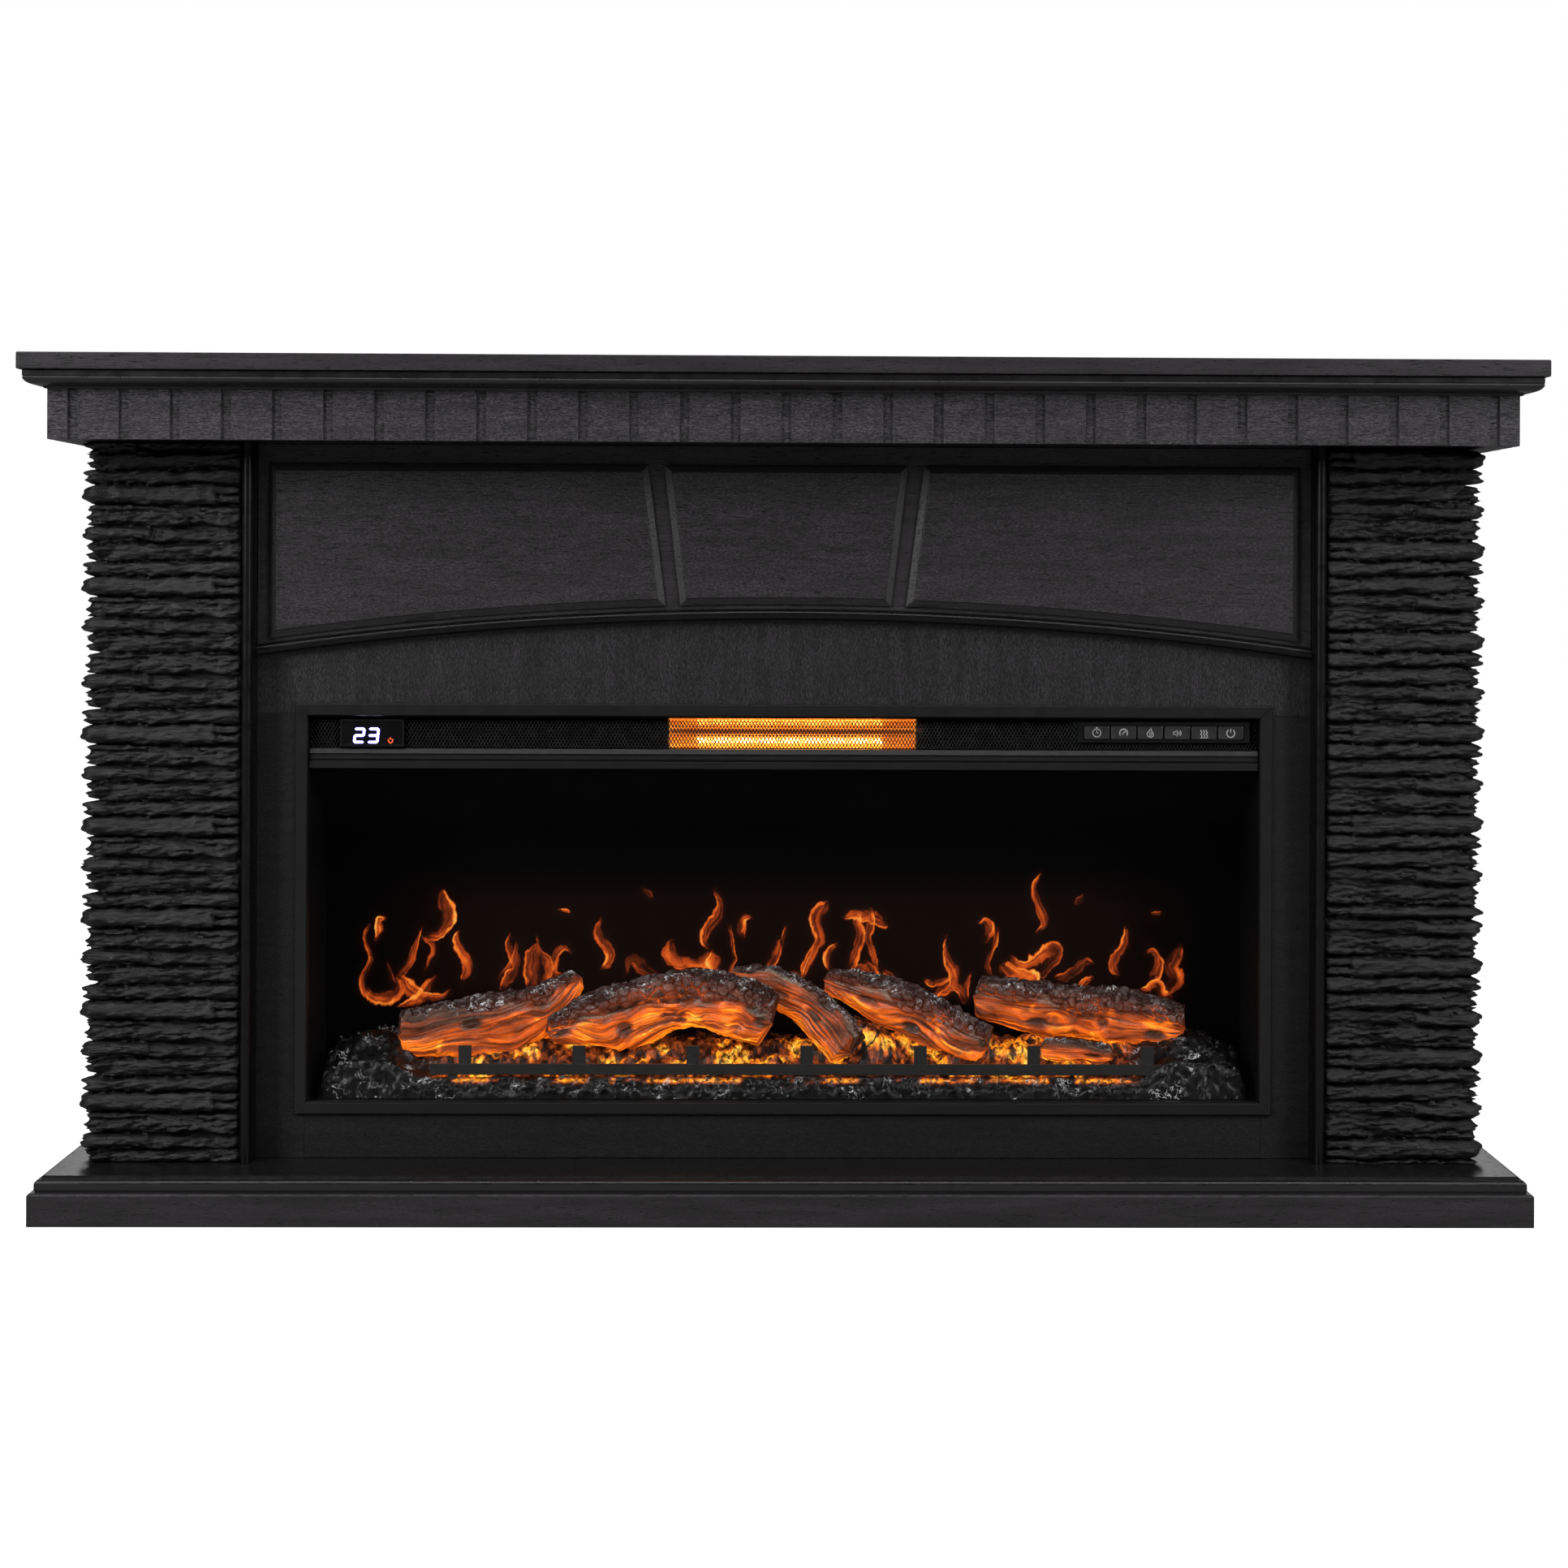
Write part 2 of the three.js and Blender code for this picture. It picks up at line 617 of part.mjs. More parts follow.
function displayModule() {
  const bodyY = [display.frontY, display.backY];
  const body = box([display.left, display.right], bodyY, [display.bottom, display.top]);
  const lens = box(
    [display.left + 3, display.right - 3],
    [display.frontY - 5, display.frontY + 1],
    [display.bottom + 3, display.top - 3],
  );
  return cut(body, lens);
}
add("display_module", displayModule(), darkPlastic);

const bezelY = [keys.frontY + 1.6, grilleY[0] - gap];
const bezelPlate = box([bezel.left, bezel.right], bezelY, [bezel.bottom, bezel.top]);
const keyHole = (i, slack) => {
  const left = keys.left + i * keys.pitch + (keys.pitch - keys.width) / 2;
  return [
    [left - slack, left + keys.width + slack],
    [keys.bottom - slack, keys.bottom + keys.height + slack],
  ];
};
const keySlots = Array.from({ length: keys.count }, (_, i) => {
  const [x, z] = keyHole(i, 0.3);
  return box(x, [bezelY[0] - 5, bezelY[1] + 5], z);
});
add("key_bezel", cut(bezelPlate, ...keySlots), darkPlastic);

const boardY = [grilleY[1] + 4.2, grilleY[1] + 5.8];
keyNames.forEach((name, i) => {
  const [x, z] = keyHole(i, -0.3);
  const centre = [(x[0] + x[1]) / 2, (z[0] + z[1]) / 2];
  const stem = [grilleY[0], boardY[0] - keyTravel - 1.6];
  const cap = box(x, [keys.frontY, grilleY[0] + 0.5], z);
  const foot = box([centre[0] - 2.5, centre[0] + 2.5], stem, [centre[1] - 2.5, centre[1] + 2.5]);
  add(`key_${name}`, joined(cap, foot), darkPlastic);
});

function controlBoard() {
  const plate = box([bezel.left - 4, bezel.right], boardY, [bezel.bottom, bezel.top]);
  const switches = keyNames.map((_, i) => {
    const x = keys.left + (i + 0.5) * keys.pitch;
    const z = keys.bottom + keys.height / 2;
    return box([x - 3, x + 3], [boardY[0] - 1.2, boardY[0] + 0.5], [z - 3, z + 3]);
  });
  const relays = [0, 1, 2].map((i) => {
    const x = bezel.left + 30 + 42 * i;
    return box([x - 10, x + 10], [boardY[1] - 0.5, boardY[1] + 15], [bezel.bottom + 3, bezel.bottom + 18]);
  });
  return joined(plate, ...switches, ...relays);
}
add("control_board", controlBoard(), circuit);

// ---------------------------------------------------------------- infrared heater

const heaterX = [heater.centreX - heater.halfWidth, heater.centreX + heater.halfWidth];
const chamberTop = insideZ[1] - gap;

// Two troughs behind the lamps, joined by their end plates, with a slot between them for the blown air.
function heaterReflector() {
  const trough = (z, halfHeight) => {
    const wall = 0.8;
    const curve = (shrink) =>
      spread(-1, 1, 10).map((t) => [
        heater.lampY + 12 - shrink - 22 * t ** 2 * (1 - shrink / 40),
        z + t * (halfHeight - shrink * 0.4),
      ]);
    return alongX([...curve(0), ...curve(wall * 2).reverse()], heaterX[0], heaterX[1]);
  };
  const bottom = deckZ[1] + gap;
  const end = (x) => box([x - 0.6, x + 0.6], [heater.lampY - 12, heater.lampY + 14], [bottom, chamberTop]);
  const rim = chamberTop - heater.upperZ;
  const lampHole = (z) =>
    cylinderX(heater.lampRadius + 1, heaterX[0] - 5, heaterX[1] + 5, heater.lampY, z, 16);
  const shell = joined(
    trough(heater.upperZ - 0.5, rim - 0.6),
    trough(heater.lowerZ - 0.3, heater.lowerZ - bottom - 1.2),
    end(heaterX[0] + 0.6),
    end(heaterX[1] - 0.6),
  );
  return cut(shell, lampHole(heater.upperZ), lampHole(heater.lowerZ));
}
add("heater_reflector", heaterReflector(), polished);

function quartzLamp(z) {
  const [y, x, half] = [heater.lampY, heater.centreX, heater.lampHalf];
  const base = (side) => {
    const [a, b] = [x + side * (half + 19), x + side * (half + 36)];
    return box([Math.min(a, b), Math.max(a, b)], [y - 5, y + 5], [z - 5, z + 5]);
  };
  return joined(cylinderX(heater.lampRadius, x - half - 21, x + half + 21, y, z, 16), base(-1), base(1));
}
add("quartz_lamp_upper", quartzLamp(heater.upperZ), quartz);
add("quartz_lamp_lower", quartzLamp(heater.lowerZ), quartz);

// ---------------------------------------------------------------- cross-flow blower

const blowerX = [heater.centreX - blower.halfLength, heater.centreX + blower.halfLength];

function blowerHousing() {
  const { y, z, wall, impellerRadius } = blower;
  const bore = impellerRadius + 1.8;
  const [foot, head] = [deckZ[1] + gap, chamberTop];
  const outer = box([blowerX[0] - wall - 2, blowerX[1] + wall + 2], [y - 24, y + bore + wall], [foot, head]);
  const scroll = cylinderX(bore, blowerX[0] - 2, blowerX[1] + 2, y, z, 28);
  const outlet = box([blowerX[0] - 2, blowerX[1] + 2], [y - 40, y], [z - bore + 1, z + 1]);
  const inlet = box([blowerX[0] - 2, blowerX[1] + 2], [y, y + bore + 20], [z - 3, z + bore - 1]);
  const shaftHole = cylinderX(3, blowerX[0] - 20, blowerX[1] + 20, y, z, 20);
  return cut(outer, scroll, outlet, inlet, shaftHole);
}
add("blower_housing", blowerHousing(), sheetSteel);

function blowerImpeller() {
  const { y, z, impellerRadius, blades } = blower;
  const disc = (x) => cylinderX(impellerRadius, x - 0.8, x + 0.8, y, z, 20);
  const shaft = cylinderX(2, blowerX[0] - 5, blowerX[1] + 9, y, z, 12);
  const vanes = Array.from({ length: blades }, (_, i) => {
    const vane = box(blowerX, [-0.5, 0.5], [impellerRadius - 4.2, impellerRadius - 0.4]);
    return vane.rotateX((2 * Math.PI * i) / blades).translate(0, y, z);
  });
  return joined(shaft, disc(blowerX[0]), disc(heater.centreX), disc(blowerX[1]), ...vanes);
}
add("blower_impeller", blowerImpeller(), darkPlastic);

function blowerMotor() {
  const { y, z, wall } = blower;
  const start = blowerX[1] + wall + 2 + gap;
  const body = joined(
    cylinderX(13, start + 4, start + 32, y, z, 24),
    box([start, start + 2], [y - 16, y + 16], [z - 15, z + 15]),
    cylinderX(6, start + 1, start + 6, y, z, 20),
  );
  return cut(body, cylinderX(2.4, start - 5, start + 12, y, z, 20));
}
add("blower_motor", blowerMotor(), steel);

// ---------------------------------------------------------------- flame effect: screen, spindle and its light

const screenY = [screen.y, screen.y + screen.thickness];
add("flame_screen", box([-inside + gap, inside - gap], screenY, [116, deckZ[0] - gap]), frosted);

function flameSpindle() {
  const { y, z, shaftRadius, left, right, fins, finReach, finWidth } = spindle;
  const pitch = (right - left - 60) / fins;
  const blades = Array.from({ length: fins }, (_, i) => {
    const x = left + 30 + (i + 0.5) * pitch;
    const blade = box([x - finWidth / 2, x + finWidth / 2], [-0.6, 0.6], [-finReach, finReach]);
    return blade.rotateX((Math.PI / 3) * i).translate(0, y, z);
  });
  return joined(cylinderX(shaftRadius, left, right + 8, y, z, 16), ...blades);
}
add("flame_spindle", flameSpindle(), polished);

const floorZ = insideZ[0] + gap;
function spindleStand(x, width) {
  const { y, z } = spindle;
  return joined(
    box([x, x + width], [y - 10, y + 10], [floorZ, z + 9]),
    box([x - 6, x + width + 6], [y - 10, y + 10], [floorZ, floorZ + 2]),
  );
}
const spindleBore = (x0, x1) => cylinderX(spindle.shaftRadius + 0.4, x0, x1, spindle.y, spindle.z, 24);
const bearingX = spindle.left + 5;
add("spindle_bearing", cut(spindleStand(bearingX, 6), spindleBore(bearingX - 5, bearingX + 15)), darkPlastic);

function spindleMotor() {
  const x = spindle.right + 4;
  const drum = cylinderX(20, x + 2, x + 24, spindle.y, spindle.z, 28);
  const body = geometryOf(solid(spindleStand(x, 3)).add(solid(drum)));
  return cut(body, spindleBore(x - 5, x + 8));
}
add("spindle_motor", spindleMotor(), steel);

function ledBoard() {
  const strip = box([-440, 430], [spindle.y - 32, spindle.y - 17], [floorZ, floorZ + 1.6]);
  const leds = spread(-420, 410, 12).map((x) =>
    box([x - 2.5, x + 2.5], [spindle.y - 27, spindle.y - 22], [floorZ + 1, floorZ + 3.2]),
  );
  return joined(strip, ...leds);
}
add("led_board", ledBoard(), circuit);

// ---------------------------------------------------------------- ember bed, grate and logs

const bed = { halfWidth: 512, frontY: -48, backY: screen.y - 3, foot: floorZ };
// Height of the coals at a place: a low front, a rise behind the grate, and a heap at each end.
function bedHeight(x, y) {
  const back = (y - bed.frontY) / (bed.backY - bed.frontY);
  const rise = 18 * Math.min(1, back / 0.35);
  const heap = 30 * THREE.MathUtils.smoothstep(Math.abs(x), 395, 455) * Math.min(1, 0.35 + back * 1.6);
  const slope = -38 * THREE.MathUtils.smoothstep(Math.abs(x), 455, bed.halfWidth);
  const lumps = 2.2 * Math.sin(x * 0.085 + y * 0.12) + 1.6 * Math.sin(x * 0.19 - y * 0.16);
  return bed.foot + Math.max(10, 17 + rise + heap + slope) + lumps;
}
function emberBed() {
  const rows = spread(bed.frontY, bed.backY, 5);
  const ring = (x) => [
    [x, bed.backY, bed.foot], [x, bed.frontY, bed.foot], ...rows.map((y) => [x, y, bedHeight(x, y)]),
  ];
  const rings = spread(-bed.halfWidth, bed.halfWidth, 34).map(ring);
  return loft(rings, rings[0].map(([, y, z]) => [y, z]));
}

// The grate in front of the logs: one flat bar on feet, with short upright fingers.
const grate = {
  left: -390,
  right: 430,
  y: [-40, -35],
  z: [139, 151],
  fingers: 7,
  fingerPitch: 125.6,
  firstFinger: -351.6,
};
function logGrate() {
  const bar = box([grate.left, grate.right], grate.y, grate.z);
  const fingers = Array.from({ length: grate.fingers }, (_, i) => {
    const x = grate.firstFinger + i * grate.fingerPitch;
    return box([x - 7, x + 7], [grate.y[0] + 0.8, grate.y[1] + 1.6], [grate.z[0] + 3, grate.z[1] + 20]);
  });
  const legs = [grate.left + 25, 25, grate.right - 25].map((x) =>
    box([x - 5, x + 5], [grate.y[0] + 1, grate.y[1] - 1], [bed.foot, grate.z[0] + 3]),
  );
  return joined(bar, ...fingers, ...legs);
}
const grateRoom = box([grate.left - 1, grate.right + 1], [grate.y[0] - 1, grate.y[1] + 3], [bed.foot - 5, grate.z[1] + 40]);

// A log: a bent, tapering, slightly knotty bar through points of [x, y, z, radius].
function logShape(points) {
  const curve = new THREE.CatmullRomCurve3(points.map(([x, y, z]) => new THREE.Vector3(x, y, z)));
  const steps = 10;
  const sides = 10;
  const circle = arc([0, 0], 1, 0, 2 * Math.PI * (1 - 1 / sides), sides - 1);
  const rings = spread(0, 1, steps).map((t, k) => {
    const centre = curve.getPoint(t);
    const forward = curve.getTangent(t);
    const beside = new THREE.Vector3(0, 1, 0).cross(forward).normalize();
    const across = forward.clone().cross(beside);
    const at = t * (points.length - 1);
    const i = Math.min(points.length - 2, Math.floor(at));
    const radius = THREE.MathUtils.lerp(points[i][3], points[i + 1][3], at - i);
    return circle.map(([c, s], j) => {
      const knot = radius * (1 + 0.07 * Math.sin(j * 2.1 + k * 1.3));
      return centre.clone().addScaledVector(beside, c * knot).addScaledVector(across, s * knot).toArray();
    });
  });
  return loft(rings, circle);
}

const logs = {
  log_far_left: [[-428, 5, 178, 24], [-350, 12, 184, 25], [-285, 26, 205, 22], [-228, 36, 228, 15]],
  log_left: [[-246, -4, 178, 21], [-170, 6, 196, 25], [-95, 4, 212, 26], [-30, -8, 192, 21]],
  log_centre: [[-50, 46, 236, 14], [-8, 36, 224, 19], [38, 20, 196, 21], [84, -12, 164, 16]],
  log_right: [[52, 62, 226, 13], [100, 40, 214, 17], [160, 18, 190, 20], [226, 0, 170, 18]],
  log_far_right: [[212, 44, 206, 24], [290, 34, 206, 24], [370, 28, 196, 24], [450, 18, 178, 21]],
};

// Each log gives way to the pieces it lies against, so that they touch with a small gap.
const bedSolid = solid(emberBed()).subtract(solid(grateRoom));
const taken = [];
for (const [name, points] of Object.entries(logs)) {
  let body = solid(logShape(points));
  for (const other of taken) body = body.subtract(other);
  const wider = points.map(([x, y, z, radius]) => [x, y, z, radius + 0.8]);
  taken.push(solid(logShape(wider)));
  add(name, geometryOf(body), resin);
}
add("log_grate", logGrate(), trimPaint);
const bedBody = taken.reduce((rest, room) => rest.subtract(room), bedSolid);
const bedPieces = bedBody.decompose().sort((a, b) => b.volume() - a.volume());
add("ember_bed", geometryOf(bedPieces[0]), coal);

export default model;
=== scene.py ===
"""Looks of the electric fireplace: finishes, ledge stone, grille mesh, lamps, logs, embers and flames."""
import math

import bmesh
import bpy
import numpy as np
from mathutils import Euler, Matrix, Vector


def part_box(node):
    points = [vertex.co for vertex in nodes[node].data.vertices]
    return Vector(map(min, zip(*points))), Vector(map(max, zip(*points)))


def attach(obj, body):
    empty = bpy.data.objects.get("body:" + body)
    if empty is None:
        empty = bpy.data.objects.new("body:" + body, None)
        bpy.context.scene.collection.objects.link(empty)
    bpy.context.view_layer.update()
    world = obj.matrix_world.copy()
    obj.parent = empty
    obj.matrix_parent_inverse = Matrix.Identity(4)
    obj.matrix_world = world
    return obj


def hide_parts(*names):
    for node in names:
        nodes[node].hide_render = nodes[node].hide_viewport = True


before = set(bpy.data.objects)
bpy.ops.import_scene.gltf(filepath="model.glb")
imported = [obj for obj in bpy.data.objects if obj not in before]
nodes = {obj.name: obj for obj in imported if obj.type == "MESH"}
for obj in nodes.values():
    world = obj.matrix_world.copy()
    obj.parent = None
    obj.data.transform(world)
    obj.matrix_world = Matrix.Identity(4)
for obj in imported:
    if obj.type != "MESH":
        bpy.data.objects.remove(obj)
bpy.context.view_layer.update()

MM = 0.001
ROOT = "fireplace"
CORNERS = ((-1, -1), (1, -1), (1, 1), (-1, 1))


def box_mm(node):
    """Lowest and highest corner of a CAD node in millimetres."""
    low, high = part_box(node)
    return np.array(low) / MM, np.array(high) / MM


# ---------------------------------------------------------------- noise

_tables = {}


def noise(x, y, seed):
    """Smooth value noise from -1 to 1, with one lattice cell per unit."""
    if seed not in _tables:
        _tables[seed] = np.random.default_rng(seed).random((256, 256))
    table = _tables[seed]
    xi, yi = np.floor(x).astype(int), np.floor(y).astype(int)
    fx, fy = x - xi, y - yi
    fx, fy = fx * fx * (3 - 2 * fx), fy * fy * (3 - 2 * fy)
    x0, x1, y0, y1 = xi & 255, (xi + 1) & 255, yi & 255, (yi + 1) & 255
    low = table[x0, y0] * (1 - fx) + table[x1, y0] * fx
    high = table[x0, y1] * (1 - fx) + table[x1, y1] * fx
    return 2 * (low * (1 - fy) + high * fy) - 1


def fbm(x, y, seed, octaves=4):
    """Layered noise, about -1 to 1."""
    total = 0
    for k in range(octaves):
        total = total + 0.5**k * noise(x * 2**k + 17.3 * k, y * 2**k + 9.1 * k, seed + k)
    return total / (2 - 2 * 0.5**octaves) * 1.2


def ridged(x, y, seed, octaves=3):
    """Noise with sharp crests, 0 to 1."""
    total, weight = 0, 0
    for k in range(octaves):
        crest = 1 - np.abs(noise(x * 2**k + 5.7 * k, y * 2**k + 3.3 * k, seed + k))
        total = total + 0.5**k * crest**2
        weight += 0.5**k
    return total / weight


def cells(x, y, seed, jitter=0.9):
    """Distance to the nearest and to the second nearest of jittered lattice points, and a number per cell."""
    jx, jy, ident = np.random.default_rng(seed).random((3, 64, 64))
    xi, yi = np.floor(x).astype(int), np.floor(y).astype(int)
    first, second = np.full((2, *x.shape), 9.0)
    number = np.zeros(x.shape)
    for dx in (-1, 0, 1):
        for dy in (-1, 0, 1):
            cx, cy = xi + dx, yi + dy
            at = cx & 63, cy & 63
            d = np.hypot(cx + 0.5 + jitter * (jx[at] - 0.5) - x, cy + 0.5 + jitter * (jy[at] - 0.5) - y)
            nearer = d < first
            second = np.where(nearer, first, np.minimum(second, d))
            number = np.where(nearer, ident[at], number)
            first = np.where(nearer, d, first)
    return first, second, number


def smooth(edge0, edge1, x):
    """0 below edge0, 1 above edge1, and an S-curve between."""
    t = np.clip((x - edge0) / (edge1 - edge0), 0, 1)
    return t * t * (3 - 2 * t)


# ---------------------------------------------------------------- finishes


class Finish:
    """A Principled material whose variation is built from nodes in object coordinates."""

    def __init__(self, name, colour, roughness, **more):
        self.material = bpy.data.materials.new(name)
        self.material.use_nodes = True
        self.tree = self.material.node_tree
        self.shader = self.tree.nodes["Principled BSDF"]
        self.colour = colour
        self.set("Base Color", (*colour, 1))
        self.set("Roughness", roughness)
        for key, value in more.items():
            self.set(key.replace("_", " "), value)
        self.normal = None

    def set(self, socket, value):
        self.shader.inputs[socket].default_value = value

    def node(self, kind, **inputs):
        made = self.tree.nodes.new("ShaderNode" + kind)
        for key, value in inputs.items():
            made.inputs[key.replace("_", " ")].default_value = value
        return made

    def link(self, out, into):
        self.tree.links.new(out, into)

    def feed(self, out, socket):
        """Joins an output to one of the shader's sockets."""
        self.link(out, self.shader.inputs[socket])

    def noise(self, scale, detail, rough=0.55, distortion=0.0, place=None):
        """Noise in object coordinates or over another place, with scale in cells per metre, one number or three."""
        mapping = self.node("Mapping", Scale=scale if np.iterable(scale) else (scale,) * 3)
        if place is None:
            place = self.node("TexCoord").outputs["Object"]
        self.link(place, mapping.inputs["Vector"])
        tex = self.node("TexNoise", Scale=1.0, Detail=detail, Roughness=rough, Distortion=distortion)
        self.link(mapping.outputs["Vector"], tex.inputs["Vector"])
        return tex.outputs["Fac"]

    def attribute(self, name, channel="Fac"):
        made = self.node("Attribute")
        made.attribute_name = name
        return made.outputs[channel]

    def ramp(self, fac, stops):
        """Colour ramp; stops are (position, value or colour)."""
        made = self.node("ValToRGB")
        elements, stops = made.color_ramp.elements, list(stops)
        while len(elements) < len(stops):
            elements.new(0.5)
        for element, (position, value) in zip(elements, stops):
            element.position = position
            element.color = (*((value,) * 3 if np.isscalar(value) else value), 1)
        self.link(fac, made.inputs["Fac"])
        return made.outputs["Color"]

    def tint(self, fac, low, high, spread=(0.3, 0.7)):
        """Base colour between low and high times the finish's colour."""
        shades = [tuple(c * k for c in self.colour) for k in (low, high)]
        self.feed(self.ramp(fac, zip(spread, shades)), "Base Color")
        return self

    def gloss(self, fac, low, high, spread=(0.3, 0.7)):
        self.feed(self.ramp(fac, zip(spread, (low, high))), "Roughness")
        return self

    def times(self, first, second):
        """One colour times another."""
        mix = self.node("Mix")
        mix.data_type, mix.blend_type = "RGBA", "MULTIPLY"
        mix.inputs[0].default_value = 1.0
        self.link(first, mix.inputs[6])
        self.link(second, mix.inputs[7])
        return mix.outputs[2]

    def mixed(self, share, first, colour):
        """One colour turned into another by a share."""
        mix = self.node("Mix")
        mix.data_type = "RGBA"
        mix.inputs[7].default_value = (*colour, 1)
        self.link(share, mix.inputs[0])
        self.link(first, mix.inputs[6])
        return mix.outputs[2]

    def bump(self, height, distance, strength=1.0):
        made = self.node("Bump", Strength=strength, Distance=distance)
        self.link(height, made.inputs["Height"])
        if self.normal:
            self.link(self.normal, made.inputs["Normal"])
        self.normal = made.outputs["Normal"]
        self.feed(self.normal, "Normal")
        return self


def veneer(name, colour, along, roughness, specular, pore, fleck=0.7, painted_shade_bevel=False):
    """Black-stained open-pore veneer with its grain along one axis.

    A higher pore opens more pores, and fleck is how strongly the wood is speckled. The bevel option paints shade on
    faces that don't look straight to the front: their colour is darkened and their gloss dulled, standing in for
    shade.
    """
    grain = {"x": (1, 11, 11), "z": (11, 11, 1)}[along]
    scaled = lambda k: tuple(k * g for g in grain)
    made = Finish(name, colour, roughness, Specular_IOR_Level=specular)
    pores = made.ramp(made.noise(scaled(72), 3, 0.65, 0.25), [(pore - 0.05, 0.0), (pore + 0.04, 1.0)])
    shade = made.noise(scaled(9), 5, 0.6)
    dark, light = (tuple(c * k for c in colour) for k in (0.65, 1.4))
    tone = made.times(made.ramp(shade, [(0.3, dark), (0.7, light)]), made.ramp(pores, [(0.0, 0.1), (1.0, 1.0)]))
    speckle = made.noise(tuple(240 + 90 * g for g in grain), 2, 0.7)
    tone = made.times(tone, made.ramp(speckle, [(0.38, 1 - 0.8 * fleck), (0.5, 0.9), (0.64, 1 + 1.7 * fleck)]))
    # Painted shade: faces turned away from the front get a much darker base colour.
    if painted_shade_bevel:
        geometry, split = made.node("NewGeometry"), made.node("SeparateXYZ")
        made.link(geometry.outputs["Normal"], split.inputs[0])
        facing = made.node("MapRange", From_Min=-0.97, From_Max=-0.86, To_Min=1.0, To_Max=0.0)
        made.link(split.outputs["Y"], facing.inputs["Value"])
        tone = made.times(tone, made.ramp(facing.outputs["Result"], [(0.0, 0.06), (1.0, 1.0)]))
        made.gloss(facing.outputs["Result"], 0.62, roughness, (0.0, 1.0))
    else:
        made.gloss(pores, 0.9, roughness, (0.0, 1.0))
    made.feed(tone, "Base Color")
    made.bump(pores, 0.0006, 0.9)
    made.bump(made.noise(scaled(38), 4, 0.6), 0.0004, 0.35)
    made.bump(speckle, 0.0004, 0.6)
    return made.material


def lacquer(name, colour, roughness, specular=0.5):
    """Sprayed satin lacquer with a faint orange peel."""
    made = Finish(name, colour, roughness, Specular_IOR_Level=specular)
    made.tint(made.noise(9, 3), 0.85, 1.2)
    made.gloss(made.noise(60, 3), roughness - 0.05, roughness + 0.07)
    made.bump(made.noise(700, 2), 0.00012, 0.35)
    return made.material


def enamel(name, colour, roughness, grit, depth, specular=0.5):
    """Powder-coated or enamelled sheet; grit is the texture's cells per metre."""
    made = Finish(name, colour, roughness, Specular_IOR_Level=specular)
    made.tint(made.noise(14, 4), 0.85, 1.2)
    made.gloss(made.noise(90, 3), roughness - 0.06, roughness + 0.08)
    made.bump(made.noise(grit, 2, 0.6), depth, 0.5)
    return made.material


def metal(name, colour, roughness, brushed):
    """Bare metal; brushed is the texture's cells per metre."""
    made = Finish(name, colour, roughness, Metallic=1.0)
    made.tint(made.noise(brushed, 4), 0.8, 1.15)
    made.gloss(made.noise(brushed, 3), roughness - 0.08, roughness + 0.12)
    made.bump(made.noise(brushed, 2), 0.0001, 0.3)
    return made.material


def speckled(name, colour, roughness, grit, low, high, detail=2, **more):
    """A finish whose colour varies a little with fine noise."""
    made = Finish(name, colour, roughness, **more)
    return made.tint(made.noise(grit, detail), low, high)


def emission(strength, colour):
    return {"Emission_Strength": strength, "Emission_Color": (*colour, 1)}


def dress(finish, *names):
    """Gives CAD nodes that keep their shape their finish."""
    for name in names:
        slots = nodes[name].data.materials
        slots.clear()
        slots.append(finish)


# Copies of one black veneer whose base colours step down from the frieze to the lower fascia and bottom rail: painted
# light and painted shade for light falling from above.
veneer_x = veneer("veneer_board", (0.0165, 0.0147, 0.0165), "x", 0.42, 0.36, 0.36, 0.3)
veneer_frieze = veneer("veneer_frieze", (0.0245, 0.022, 0.025), "x", 0.34, 0.6, 0.42, 1.0)
veneer_panel = veneer("veneer_panel", (0.0155, 0.0138, 0.0155), "x", 0.36, 0.5, 0.37, 0.95, painted_shade_bevel=True)
veneer_painted_shade_bottom = veneer("veneer_bottom_painted_shade", (0.005, 0.0048, 0.005), "x", 0.55, 0.26, 0.33)
veneer_z = veneer("veneer_upright", (0.0108, 0.0098, 0.0109), "z", 0.42, 0.36, 0.36, 0.95)
lacquer_black = lacquer("lacquer_black", (0.0045, 0.004, 0.0045), 0.3, 0.6)
# A darker copy of the black lacquer: painted shade for the soffit under the shelf and for the beads.
lacquer_painted_shade = lacquer("lacquer_painted_shade", (0.0022, 0.002, 0.0022), 0.3, 0.25)
trim_enamel = enamel("trim_enamel", (0.006, 0.006, 0.0062), 0.36, 1500, 0.0001, 0.3)
grille_enamel = enamel("grille_enamel", (0.0013, 0.0013, 0.0013), 0.5, 1200, 0.0001, 0.07)
grate_enamel = enamel("grate_enamel", (0.008, 0.0075, 0.007), 0.5, 500, 0.0004)
case_coat = enamel("case_powder_coat", (0.0016, 0.0015, 0.0015), 0.75, 1100, 0.00025, 0.1)
case_zinc = enamel("case_back_zinc", (0.035, 0.035, 0.037), 0.5, 220, 0.0001, 0.4)
plastic_black = enamel("plastic_black", (0.0022, 0.0022, 0.0022), 0.5, 1800, 0.00008, 0.15)
key_satin = enamel("key_satin", (0.008, 0.008, 0.0085), 0.4, 2200, 0.00005)
motor_steel = metal("motor_steel", (0.5, 0.5, 0.51), 0.34, (900, 40, 900))
foil = metal("spindle_foil", (0.75, 0.72, 0.68), 0.2, 300)

fibreboard = Finish("fibreboard_raw", (0.3, 0.2, 0.115), 0.85)
fibreboard.tint(fibreboard.noise(500, 4, 0.7), 0.75, 1.15)
fibreboard.bump(fibreboard.noise(900, 3, 0.7), 0.0003, 0.5)

circuit = Finish("circuit_board", (0.02, 0.09, 0.035), 0.38)
circuit.tint(circuit.noise((260, 90, 260), 2), 0.55, 1.3, (0.45, 0.55))
circuit.bump(circuit.noise((260, 90, 260), 2), 0.0001, 0.4)

